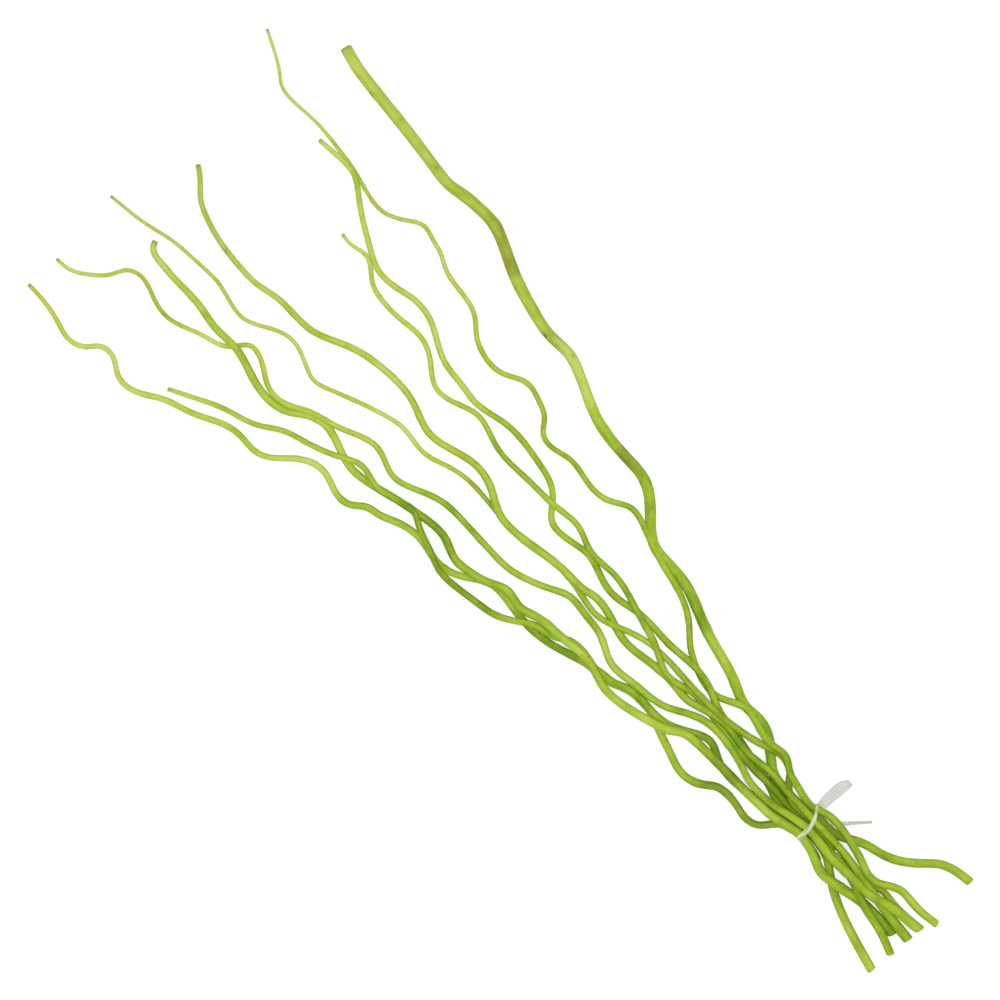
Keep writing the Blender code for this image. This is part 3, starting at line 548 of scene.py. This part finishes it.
def bud_offsets(reach, radius, turn, phase):
    """Each ring's distance from each bud, each side's turn from each bud, and the radius at each bud.

    Bud n sits where n + 0.25 sin(2.4 n + phase) gaps have gone by, each 9 mm + 3 diameters long, and it is
    turned by n . 144 degrees + phase.
    """
    gap = BUD_GAP + 2 * BUD_GAP_DIAMETERS * radius
    count = np.append(0.0, np.cumsum(np.diff(reach) / gap[:-1]))
    number = np.arange(1, int(count[-1]))
    bud_run = np.interp(number + BUD_GAP_SWING * np.sin(BUD_GAP_BEAT * number + phase), count, reach)
    bud_turn = np.radians(LEAF_TURN) * number + phase
    size = np.interp(bud_run, reach, radius)
    return reach[:, None] - bud_run, round_difference(turn[:, None], bud_turn), size


def bud_spots(off_run, length, off_turn, width):
    """A soft spot at each bud, all added up: exp(-(run / length)^2) . exp(-(turn / width)^2)."""
    return np.einsum("rn,tn->rt", bump(off_run, length), bump(off_turn, width))


def stem_skin(reach, turn, buds, phase):
    """How many radii the skin lies from the centre line, at each ring and side.

    1 + 0.02 sin(reach / 23 + phase) + 0.015 sin(reach / 9.7 + 2 phase) + nodes' rings + buds' bumps
    + 0.02 cos 2 (turn + reach / 60 + phase).
    """
    off_run, off_turn, size = buds
    long_wave = LONG_WAVE * np.sin(reach / LONG_WAVE_PACE + phase)
    waviness = long_wave + SHORT_WAVE * np.sin(reach / SHORT_WAVE_PACE + 2 * phase)
    near_node = bump(off_run, np.polyval(NODE_LENGTH, size)).sum(axis=1)
    near_bud = bud_spots(off_run, np.polyval(BUD_LENGTH, size), off_turn, BUD_TURN)
    skin = 1 + waviness[:, None] + NODE_SWELLING * near_node[:, None] + BUD_SWELLING * near_bud
    return skin + OVAL * np.cos(2 * (turn + reach[:, None] / OVAL_PACE + phase))


def stem_scars(stem, centre, radius, reach, turn, buds):
    """How brown each point is, 0 to 1: an oval where each leaf or side twig was, and a dried tip.

    A twig's oval is exp(-(run / half its length)^2) . exp(-(way round / a third of its length)^2).
    """
    off_run, off_turn, size = buds
    leaf_length = np.polyval(LEAF_SCAR_LENGTH, size)
    leaf_scars = bud_spots(off_run + LEAF_SCAR_OFFSET * size, leaf_length, off_turn, LEAF_SCAR_TURN)
    scar = LEAF_SCAR_STRENGTH * leaf_scars
    for place, angle, length in stem["scars"]:
        at = reach[np.argmin(np.abs(centre[:, 0] - place))]
        aside = round_difference(turn, math.radians(angle)) * radius[:, None]
        scar = scar + bump(reach[:, None] - at, length / 2) * bump(aside, length / 3)
    return (scar + TIP_BROWNING * bump(reach, TIP_BROWNING_LENGTH)[:, None]).clip(0, 1)


def rounded_end(position, layers, middle, heading, radius):
    """The last end of a stem's rings, with its rim turned in and rings across its face.

    A new ring is middle + shrink (last ring - middle) + (beyond - 0.4) radius . heading. Round the rim
    shrink = 1 - 0.4 (1 - cos t) and beyond = 0.4 sin t, and on the face beyond = 0.4.
    """
    rim = np.radians(RIM_TURNS)
    shrink = np.append(1 - RIM * (1 - np.cos(rim)), FACE_RINGS)
    beyond = np.append(RIM * np.sin(rim), np.full(len(FACE_RINGS), RIM))
    rings = middle + shrink[:, None, None] * (position[-1:] - middle)
    rings = rings + (beyond[:, None, None] - RIM) * radius * heading
    kept = len(position) - int(math.ceil(RIM * radius / RING_SPACING))
    ended = {}
    for key, value in layers.items():
        ended[key] = np.concatenate([value[:kept], np.repeat(value[-1:], len(shrink), axis=0)])
    ended["face"][kept + len(RIM_TURNS) - 1 :] = 1.0
    ended["grain"][kept:, :, :2] *= shrink[:, None, None]
    return np.concatenate([position[:kept], rings]), ended


def sheared(position, middle, run, side, up, radius, cut):
    """The butt as slanting shears leave it: near it each point slides along the run by its offset's lean.

    lean = tan(sideways) . offset to the side + tan(upward) . offset up - the most it is on the rim, and it
    fades as (1 + offset along the run / 4 radii)^2.
    """
    sideways, lifted = np.tan(np.radians(cut))
    offset = position - middle
    lean = sideways * (offset @ side) + lifted * (offset @ up)
    lean = lean - radius * math.hypot(sideways, lifted)
    nearness = np.clip(1 + (offset @ run) / (SLANT_REACH * radius), 0, 1)
    inside = np.linalg.norm(offset, axis=-1) < SLANT_LIMIT * radius
    return position + (lean * nearness**2 * inside)[..., None] * run


def stem_surface(stem, phase):
    """A stem as rings by sides, and what the dye needs to know at each point of it.

    A point is centre + radius . skin (cos a . side + sin a . up). Then each end in turn is rounded with the
    rings in an order that puts it last, the butt is sheared, and bumps under the stem are pressed flat where
    they would go through the surface that the bunch lies on.
    """
    centre, radius, reach = stem_line(stem)
    run = unit(np.gradient(centre, axis=0))
    side = unit(np.cross((0.0, 0.0, 1.0), run))
    up = np.cross(run, side)
    turn = np.linspace(0.0, 2 * math.pi, STEM_SIDES, endpoint=False)
    buds = bud_offsets(reach, radius, turn, phase)
    skin = radius[:, None] * stem_skin(reach, turn, buds, phase)
    across = skin * np.cos(turn)
    upward = skin * np.sin(turn)
    position = centre[:, None, :] + across[..., None] * side[:, None, :] + upward[..., None] * up[:, None, :]
    # The dye strengths, with painted shade: deeper under crossing stems and in the crevices round the band.
    dye_and_shade = eased(stem["dye_and_shade"], centre[:, 0])
    stain = straight(stem["olive"], centre[:, 0])
    layers = {
        "grain": np.stack([across, upward, np.broadcast_to(reach[:, None], across.shape)], axis=-1),
        "dye_and_shade": np.repeat(dye_and_shade[:, None], STEM_SIDES, axis=1),
        "stain": np.repeat(stain[:, None], STEM_SIDES, axis=1),
        "scar": stem_scars(stem, centre, radius, reach, turn, buds),
        "face": np.zeros_like(across),
    }
    for end, heading in ((0, -run[0]), (-1, run[-1])):
        turned_round = {key: value[::-1] for key, value in layers.items()}
        position, layers = rounded_end(position[::-1], turned_round, centre[end], heading, radius[end])
    position = sheared(position, centre[-1], run[-1], side[-1], up[-1], radius[-1], stem["cut"])
    position[..., 2] = np.maximum(position[..., 2], FOOTPRINT_MIDDLE[2])
    return position, layers


def placed(name, data):
    """An object that shows this data, put into the scene."""
    made = bpy.data.objects.new(name, data)
    bpy.context.scene.collection.objects.link(made)
    return made


def grid_object(name, rows, layers=None, capped=True, looped=False):
    """A piece from a grid of points in millimetres, its columns joined round.

    Quads join each row to the next, and the last row to the first where it is looped. Where it is capped, a
    fan of triangles closes each end on the middle of its row.
    """
    count, sides = rows.shape[:2]
    points = (rows.reshape(-1, 3) - FOOTPRINT_MIDDLE) * MM
    index = np.arange(count * sides).reshape(count, sides)
    here = index if looped else index[:-1]
    there = np.roll(index, -1, axis=0) if looped else index[1:]
    quads = np.stack([here, np.roll(here, -1, axis=1), np.roll(there, -1, axis=1), there], axis=-1)
    faces = quads.reshape(-1, 4).tolist()
    if capped:
        middles = (rows[[0, -1]].mean(axis=1) - FOOTPRINT_MIDDLE) * MM
        points = np.concatenate([points, middles])
        first, last = index[0], index[-1]
        start = np.stack([np.full(sides, len(points) - 2), np.roll(first, -1), first], axis=1)
        end = np.stack([np.full(sides, len(points) - 1), last, np.roll(last, -1)], axis=1)
        faces += start.tolist() + end.tolist()
    mesh = bpy.data.meshes.new(name)
    mesh.from_pydata(points.tolist(), [], faces)
    for key, value in (layers or {}).items():
        if capped:
            value = np.concatenate([value.reshape(-1, *value.shape[2:]), value[[0, -1]].mean(axis=1)])
        kind, slot = ("FLOAT_VECTOR", "vector") if value.ndim > 1 else ("FLOAT", "value")
        mesh.attributes.new(key, kind, "POINT").data.foreach_set(slot, value.astype(np.float32).ravel())
    mesh.shade_smooth()
    mesh.update()
    return placed(name, mesh)


def linear_rgba(hex_colour):
    """The sRGB curve undone: c/12.92 near black, ((c + 0.055)/1.055)^2.4 above it."""
    channels = [int(hex_colour[i : i + 2], 16) / 255 for i in (0, 2, 4)]
    return [c / 12.92 if c <= 0.04045 else ((c + 0.055) / 1.055) ** 2.4 for c in channels] + [1.0]


def new_material(name):
    """A new material, with its node tree and its shader."""
    made = bpy.data.materials.new(name)
    made.use_nodes = True
    return made, made.node_tree, made.node_tree.nodes["Principled BSDF"]


def add_node(tree, kind, inputs=(), **settings):
    """Adds a node with its settings. In its inputs a socket is linked, and anything else is a value."""
    made = tree.nodes.new(kind)
    for key, value in settings.items():
        setattr(made, key, value)
    for key, value in dict(inputs).items():
        if isinstance(value, bpy.types.NodeSocket):
            tree.links.new(value, made.inputs[key])
        else:
            made.inputs[key].default_value = value
    return made


def sum_of(tree, operation, *terms):
    """One sum in a material, such as ADD, MULTIPLY or MULTIPLY_ADD, on sockets or plain values."""
    return add_node(tree, "ShaderNodeMath", enumerate(terms), operation=operation).outputs[0]


def stretched_noise(tree, place, scale, detail, roughness=0.5):
    """Noise of `place` times `scale`, axis by axis."""
    stretched = add_node(tree, "ShaderNodeMapping", {"Vector": place, "Scale": scale}).outputs["Vector"]
    inputs = {"Vector": stretched, "Scale": 1.0, "Detail": detail, "Roughness": roughness}
    return add_node(tree, "ShaderNodeTexNoise", inputs).outputs["Fac"]


def spread(tree, noise, low, high):
    """The middle of a noise, 0.3 to 0.7, spread over low to high and held there beyond it."""
    inputs = {"Value": noise, 1: 0.3, 2: 0.7, 3: low, 4: high}
    return add_node(tree, "ShaderNodeMapRange", inputs).outputs["Result"]


def mixed(tree, factor, first, second):
    """The first colour where the factor is 0, the second where it is 1."""
    return add_node(tree, "ShaderNodeMix", {0: factor, 6: first, 7: second}, data_type="RGBA").outputs[2]


def tone_ramp(tree, factor, tones):
    """Colours joined by straight lines, each an sRGB tone at its place between 0 and 1."""
    ramp = add_node(tree, "ShaderNodeValToRGB", {"Fac": factor})
    while len(ramp.color_ramp.elements) < len(tones):
        ramp.color_ramp.elements.new(0.5)
    for element, (place, tone) in zip(ramp.color_ramp.elements, tones):
        element.position = place
        element.color = linear_rgba(tone)
    return ramp.outputs["Color"]


def raise_relief(tree, shader, height, strength, distance):
    """Bumps the shader's surface by a height, where 1 stands for `distance` metres."""
    shaped = add_node(tree, "ShaderNodeBump", {"Strength": strength, "Distance": distance, "Height": height})
    tree.links.new(shaped.outputs["Normal"], shader.inputs["Normal"])


# The dye on bare wood, from where it hardly took to where it took most, in sRGB. Its deep end also
# serves as painted shade, where the dye strengths are raised under crossing stems and round the band.
DYE_TONES = ((0.0, "B3BE5F"), (0.33, "A1B43C"), (0.67, "89A520"), (1.0, "678609"))
OLIVE_STAIN = "74741F"
SCAR_BROWN = "5F6421"
CUT_FACE = "788E2C"
CUT_FACE_SHARE = 0.6
FIBRE_WIDTH = 0.35
FIBRE_LENGTH = 7.0
DYE_CLOUD_WIDTH = 5.0
DYE_CLOUD_LENGTH = 11.0
WOOD_GRAININESS = 0.55
# How far clouds and fibres swing the dye's strength, what the clouds leave of the olive stain, and how matt
# the skin is between the fibres and on them.
DYE_CLOUD_SWING = 0.18
FIBRE_SWING = 0.1
STAIN_LEFT = (0.35, 0.75)
SKIN_ROUGHNESS = (0.54, 0.66)
FIBRE_RELIEF = 0.4
SKIN_RELIEF_STRENGTH = 0.35
SKIN_RELIEF_DEPTH = 0.0003


def dyed_willow(name):
    """Peeled willow, soaked in dye: smooth long fibres under a satin skin, cloudy colour, dull brown scars.

    The ramp is read at dye + cloud + fibre, where the dye strength also holds painted shade: deeper under
    crossing stems and in the crevices round the band. Over it come the olive stain times what the clouds
    leave, the scars, and 0.6 of the cut face's colour.
    """
    made, tree, shader = new_material(name)
    grain = add_node(tree, "ShaderNodeAttribute", attribute_name="grain").outputs["Vector"]
    layer = {
        key: add_node(tree, "ShaderNodeAttribute", attribute_name=key).outputs["Fac"]
        for key in ("dye_and_shade", "stain", "scar", "face")
    }
    fibre_scale = (1 / FIBRE_WIDTH, 1 / FIBRE_WIDTH, 1 / FIBRE_LENGTH)
    cloud_scale = (1 / DYE_CLOUD_WIDTH, 1 / DYE_CLOUD_WIDTH, 1 / DYE_CLOUD_LENGTH)
    fibre = stretched_noise(tree, grain, fibre_scale, 3.0, WOOD_GRAININESS)
    cloud = stretched_noise(tree, grain, cloud_scale, 2.0, WOOD_GRAININESS)
    amount = sum_of(tree, "ADD", layer["dye_and_shade"], spread(tree, cloud, -DYE_CLOUD_SWING, DYE_CLOUD_SWING))
    amount = sum_of(tree, "ADD", amount, spread(tree, fibre, -FIBRE_SWING, FIBRE_SWING))
    colour = tone_ramp(tree, amount, DYE_TONES)
    stain = sum_of(tree, "MULTIPLY", layer["stain"], spread(tree, cloud, *STAIN_LEFT))
    colour = mixed(tree, stain, colour, linear_rgba(OLIVE_STAIN))
    colour = mixed(tree, layer["scar"], colour, linear_rgba(SCAR_BROWN))
    face = sum_of(tree, "MULTIPLY", layer["face"], CUT_FACE_SHARE)
    colour = mixed(tree, face, colour, linear_rgba(CUT_FACE))
    tree.links.new(colour, shader.inputs["Base Color"])
    tree.links.new(spread(tree, fibre, *SKIN_ROUGHNESS), shader.inputs["Roughness"])
    relief = sum_of(tree, "MULTIPLY_ADD", fibre, FIBRE_RELIEF, cloud)
    raise_relief(tree, shader, relief, SKIN_RELIEF_STRENGTH, SKIN_RELIEF_DEPTH)
    shader.inputs["IOR"].default_value = 1.45
    shader.inputs["Specular IOR Level"].default_value = 0.2
    return made


for number, (stem_name, stem) in enumerate(STEMS.items()):
    surface, stem_layers = stem_surface(stem, STEM_PHASE * number)
    shoot = grid_object("willow_" + stem_name.removeprefix("stem_"), surface, stem_layers)
    shoot.data.materials.append(dyed_willow("dyed_willow_" + stem_name.removeprefix("stem_")))
    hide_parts(stem_name)
    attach(shoot, "root")

# ------------------------------------------------------------------------------
# The ribbon. One length of clear film up to 8 mm wide, wound once round the bunch, drawn tight so that it
# creases lengthwise, and knotted at the right-hand side, where a loop and a narrow tail stand out.
# ------------------------------------------------------------------------------

# Seen from above the band runs straight over the left of the bunch and sweeps toward the tips at the right.
BAND_PLACE = -268.25
BAND_STRAIGHT_TO = 18.0
BAND_SWEEP = 0.0255
BAND_LARGEST_SWEEP = 20.0
BAND_WIDTH_AT_MIDDLE = 1.6
BAND_WIDTH_GAIN = 0.08
BAND_WIDTH_LIMITS = (1.8, 3.6)
BAND_STATIONS = 360
BAND_DIRECTIONS = 720
BAND_SOFTENING = 3
BAND_GAP = 0.15
BAND_CREASES = 3
BAND_CREASE_DEPTH = 0.14
FILM_THICKNESS = 0.18
FILM_COLUMNS = 24
# Along a strip its creases wander from side to side by this many radians, over this many radians of a wave.
CREASE_DRIFT = 0.8
CREASE_DRIFT_WAVE = 9.0
KNOT_CENTRE = np.array((-262.4, 0.3, 6.2))
KNOT_SIZE = np.array((3.4, 2.4, 3.2))
KNOT_RINGS = 24
KNOT_SIDES = 48
KNOT_PLEATS = 7
KNOT_PLEAT_TWIST = 4
KNOT_PLEAT_DEPTH = 0.1
LOOSE_FILM_STEP = 0.35
LOOSE_CREASE_DEPTH = 0.1
LOOP_CREASES = 1.5
TAIL_CREASES = 1.0
# The loop leaves the knot, folds back at its far end and comes home above itself. Each place on these two
# routes is (along, across, up, width).
LOOP_ROUTE = [
    (-262.8, -1.4, 5.5, 4.4), (-263.4, -2.8, 5.5, 6.4), (-263.6, -5, 5.6, 7.3), (-263.7, -10, 6, 7.7),
    (-264.2, -16, 5.6, 8.1), (-265.1, -20.8, 5.8, 7.7), (-266, -24, 6.6, 5.6), (-266.4, -25.6, 8, 4.4),
    (-266, -24, 9.4, 5.6), (-265.1, -20.8, 10.2, 7.7), (-264.2, -16, 10.4, 8.1), (-263.7, -10, 10, 7.7),
    (-263.6, -5, 9.2, 7.3), (-263.5, -2.5, 8.9, 6.9), (-263.0, -0.4, 8.4, 5.0),
]
# The tail leaves the knot, passes between two stems and runs out to the right, narrow and straight.
TAIL_ROUTE = [
    (-264.8, 0.8, 6.4, 2), (-268, 1.4, 6.6, 2.2), (-271, 2, 7, 2.4), (-274.5, 2.9, 7.4, 2.4),
    (-277.5, 2.6, 7.5, 2.5), (-282, -1.4, 7, 2.8), (-288, -8.2, 6.2, 2.5), (-295.9, -17, 5.4, 1.9),
]


def band_sweep(across):
    """How far the band lies toward the tips here: sweep . (distance to the right of its straight run)^2."""
    return BAND_SWEEP * np.clip(BAND_STRAIGHT_TO - across, 0.0, BAND_LARGEST_SWEEP) ** 2


def band_outline():
    """The tight outline round the stems at the band: in each direction, the rim point that reaches farthest.

    It is then read at evenly spaced lengths, and softened by a running mean of seven places.
    """
    discs = []
    for stem in STEMS.values():
        centre, radius, _ = stem_line(stem)
        nearest = np.argmin(np.abs(centre[:, 0] - BAND_PLACE - band_sweep(centre[:, 1])))
        discs.append((centre[nearest, 1], centre[nearest, 2], radius[nearest]))
    discs = np.array(discs)
    turns = np.linspace(0.0, 2 * math.pi, BAND_DIRECTIONS, endpoint=False)
    outward = np.column_stack([np.cos(turns), np.sin(turns)])
    farthest = discs[np.argmax(outward @ discs[:, :2].T + discs[:, 2], axis=1)]
    outline = farthest[:, :2] + outward * (farthest[:, 2:] + BAND_GAP)
    closed = np.concatenate([outline, outline[:1]])
    run = run_so_far(closed)
    reach = np.linspace(0.0, run[-1], BAND_STATIONS, endpoint=False)
    even = np.column_stack([np.interp(reach, run, axis) for axis in closed.T])
    shifts = range(-BAND_SOFTENING, BAND_SOFTENING + 1)
    return sum(np.roll(even, shift, axis=0) for shift in shifts) / len(shifts)


def film_profile(columns):
    """A thin closed strip's corners round its cross-section, as (across, side): -1 to 1 and back.

    across = cos of an even turn, which crowds points at the edges, and side is +1 on top and -1 underneath.
    """
    turn = np.linspace(0.0, 2 * math.pi, 2 * columns, endpoint=False) + math.pi / (2 * columns)
    return np.cos(turn), np.sign(np.sin(turn))


def film_surface(centre, level, upward, half_width, creases, crease_depth):
    """A creased strip of film: centre + across . half_width . level + lift . upward.

    lift = crease_depth cos(creases pi across + drift) (1 - across^4) + side . half the film's thickness, and
    drift = 0.8 sin of a turn that goes evenly from 0 to 9 along the strip.
    """
    across, side = film_profile(FILM_COLUMNS)
    drift = CREASE_DRIFT * np.sin(np.linspace(0.0, CREASE_DRIFT_WAVE, len(centre)))[:, None]
    lift = crease_depth * np.cos(creases * math.pi * across + drift) * (1 - across**4)
    lift = lift + side * FILM_THICKNESS / 2
    out_to_side = (half_width[:, None] * across)[..., None] * level[:, None, :]
    return centre[:, None, :] + out_to_side + lift[..., None] * upward[:, None, :]


def strip_layers(rows):
    """Where a film's point lies on its strip, in mm, as (across, 0, along), for its creases to follow."""
    run = run_so_far(rows.mean(axis=1))
    across = np.linalg.norm(rows - rows[:, :1], axis=-1)
    return {"strip": np.stack([across, 0 * across, np.broadcast_to(run[:, None], across.shape)], axis=-1)}


def band_surface():
    """The band: film along its outline, level with the bunch's length and facing out from the middle.

    Its width is 1.6 mm + 0.08 . distance to the left, held between 1.8 mm and 3.6 mm.
    """
    outline = band_outline()
    centre = np.column_stack([BAND_PLACE + band_sweep(outline[:, 0]), outline])
    run = unit(np.roll(centre, -1, axis=0) - np.roll(centre, 1, axis=0))
    level = unit(np.cross(run, np.cross((1.0, 0.0, 0.0), run)))
    out = np.cross(level, run)
    out *= np.sign(np.sum(out * (centre - centre.mean(axis=0)), axis=1))[:, None]
    half_width = np.clip(BAND_WIDTH_AT_MIDDLE + BAND_WIDTH_GAIN * outline[:, 0], *BAND_WIDTH_LIMITS) / 2
    return film_surface(centre, level, out, half_width, BAND_CREASES, BAND_CREASE_DEPTH)


def knot_surface():
    """The knot: an egg of gathered film, drawn in by pleats that wind round it from pole to pole.

    A point is centre + half the size . pleats (sin p cos a, sin p sin a, cos p), with
    pleats = 1 - 0.1 (0.5 + 0.5 cos(7 a + 4 p)) sin p.
    """
    polar = np.linspace(0.0, math.pi, KNOT_RINGS + 2)[1:-1, None]
    around = np.linspace(0.0, 2 * math.pi, KNOT_SIDES, endpoint=False)[None, :]
    wave = 0.5 + 0.5 * np.cos(KNOT_PLEATS * around + KNOT_PLEAT_TWIST * polar)
    pleats = 1 - KNOT_PLEAT_DEPTH * wave * np.sin(polar)
    along = np.sin(polar) * np.cos(around) * pleats
    aside = np.sin(polar) * np.sin(around) * pleats
    upward = np.cos(polar) * np.ones_like(around) * pleats
    return KNOT_CENTRE + np.stack([along, aside, upward], axis=-1) * KNOT_SIZE / 2


def loose_surface(route, creases, across=None):
    """A strip of film along a route, its width on `across`, or level and square to its run."""
    line = smooth_curve(route, LOOSE_FILM_STEP)
    run = unit(np.gradient(line[:, :3], axis=0))
    level = np.cross((0.0, 0.0, 1.0), run) if across is None else across - run * (run @ across)[:, None]
    level = unit(level)
    return film_surface(line[:, :3], level, np.cross(run, level), line[:, 3] / 2, creases, LOOSE_CREASE_DEPTH)


# How often the fine creases come in a mm across, through and along the strip, where on their noise the
# painted shade of the hollows ends and the painted highlight of the crests begins, and how deep they look.
CREASE_SCALE = (2.2, 1.0, 0.12)
HOLLOW_SHADE_TO = 0.4
CREST_HIGHLIGHT_FROM = 0.6
CREASE_RELIEF_STRENGTH = 0.4
CREASE_RELIEF_DEPTH = 0.0002


def clear_film(name, hollow_shade, crest_highlight, cover, roughness):
    """Polypropylene ribbon film: see-through, with painted shade in the hollows of its creases and a painted
    highlight on their crests.

    `cover` is how much of what lies behind the film it hides.
    """
    made, tree, shader = new_material(name)
    strip = add_node(tree, "ShaderNodeAttribute", attribute_name="strip").outputs["Vector"]
    crease = stretched_noise(tree, strip, CREASE_SCALE, 2.0)
    # Painted shade in the crease hollows, painted highlight on the crests.
    colour = tone_ramp(tree, crease, ((HOLLOW_SHADE_TO, hollow_shade), (CREST_HIGHLIGHT_FROM, crest_highlight)))
    tree.links.new(colour, shader.inputs["Base Color"])
    raise_relief(tree, shader, crease, CREASE_RELIEF_STRENGTH, CREASE_RELIEF_DEPTH)
    shader.inputs["Roughness"].default_value = roughness
    shader.inputs["IOR"].default_value = 1.49
    shader.inputs["Alpha"].default_value = cover
    return made


# Each film's two colours are the painted shade of its crease hollows and the painted highlight of its crests.
gathered_film = clear_film("gathered_ribbon_film", "A3B86E", "E6EDCB", 0.72, 0.35)
loop_film = clear_film("loop_ribbon_film", "BBBDB8", "C6C8C2", 0.85, 0.6)
tail_film = clear_film("tail_ribbon_film", "A9AF8F", "B9BEA2", 0.85, 0.6)

# The loop's width lies along the bunch.
loop_rows = loose_surface(LOOP_ROUTE, LOOP_CREASES, across=np.array((1.0, 0.0, 0.0)))
tail_rows = loose_surface(TAIL_ROUTE, TAIL_CREASES)
for name, node, rows, film, is_ring in (
    ("ribbon_film_band", "ribbon_band", band_surface(), gathered_film, True),
    ("ribbon_film_knot", "ribbon_knot", knot_surface(), gathered_film, False),
    ("ribbon_film_loop", "ribbon_loop", loop_rows, loop_film, False),
    ("ribbon_film_tail", "ribbon_tail", tail_rows, tail_film, False),
):
    piece = grid_object(name, rows, strip_layers(rows), capped=not is_ring, looped=is_ring)
    piece.data.materials.append(film)
    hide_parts(node)
    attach(piece, "root")

# ------------------------------------------------------------------------------
# The table and the light: a matt white board under one soft light straight above the bunch, in a bright room.
# ------------------------------------------------------------------------------

BOARD_HALF = 3.0
BOARD_TONES = ((0.0, "F6F6F6"), (1.0, "FAFAFA"))
ROOM_BRIGHTNESS = 0.5
SOFTBOX_SIZE = 1.2
SOFTBOX_POWER = 414.0
SOFTBOX_HEIGHT = 7.0


def matt_board(name):
    """White-painted board, rolled: matt, with a faint unevenness."""
    made, tree, shader = new_material(name)
    place = add_node(tree, "ShaderNodeTexCoord").outputs["Object"]
    mottle = add_node(tree, "ShaderNodeTexNoise", {"Vector": place, "Scale": 6.0}).outputs["Fac"]
    tree.links.new(tone_ramp(tree, mottle, BOARD_TONES), shader.inputs["Base Color"])
    shader.inputs["Roughness"].default_value = 0.9
    shader.inputs["Specular IOR Level"].default_value = 0.1
    return made


board_mesh = bpy.data.meshes.new("board")
corners = [(BOARD_HALF * x, BOARD_HALF * y, 0.0) for x, y in ((-1, -1), (1, -1), (1, 1), (-1, 1))]
board_mesh.from_pydata(corners, [], [(0, 1, 2, 3)])
board_mesh.materials.append(matt_board("matt_white_board"))
board = placed("board", board_mesh)

room = bpy.data.worlds.new("bright_room")
room.use_nodes = True
room.node_tree.nodes["Background"].inputs["Color"].default_value = (1.0, 1.0, 1.0, 1.0)
room.node_tree.nodes["Background"].inputs["Strength"].default_value = ROOM_BRIGHTNESS
bpy.context.scene.world = room

softbox_light = bpy.data.lights.new("softbox", "AREA")
softbox_light.shape = "DISK"
softbox_light.size = SOFTBOX_SIZE
softbox_light.energy = SOFTBOX_POWER
softbox = placed("softbox", softbox_light)
softbox.location = (0.0, 0.0, SOFTBOX_HEIGHT)

# The camera looks straight down from well above, turned so that the tips point up and to the left.
VIEW_WIDTH = 0.68
SENSOR_WIDTH = 36.0
CAMERA_OVER = (0.03867, 0.00779)
CAMERA_HEIGHT = 8.0
CAMERA_TURN = -135.0
eye = bpy.data.cameras.new("camera")
eye.sensor_width = SENSOR_WIDTH
eye.lens = SENSOR_WIDTH * CAMERA_HEIGHT / VIEW_WIDTH
eye.clip_end = 20.0
camera = placed("camera", eye)
camera.location = (*CAMERA_OVER, CAMERA_HEIGHT)
camera.rotation_euler = (0.0, 0.0, math.radians(CAMERA_TURN))
bpy.context.scene.camera = camera
bpy.context.scene.view_settings.view_transform = "Standard"
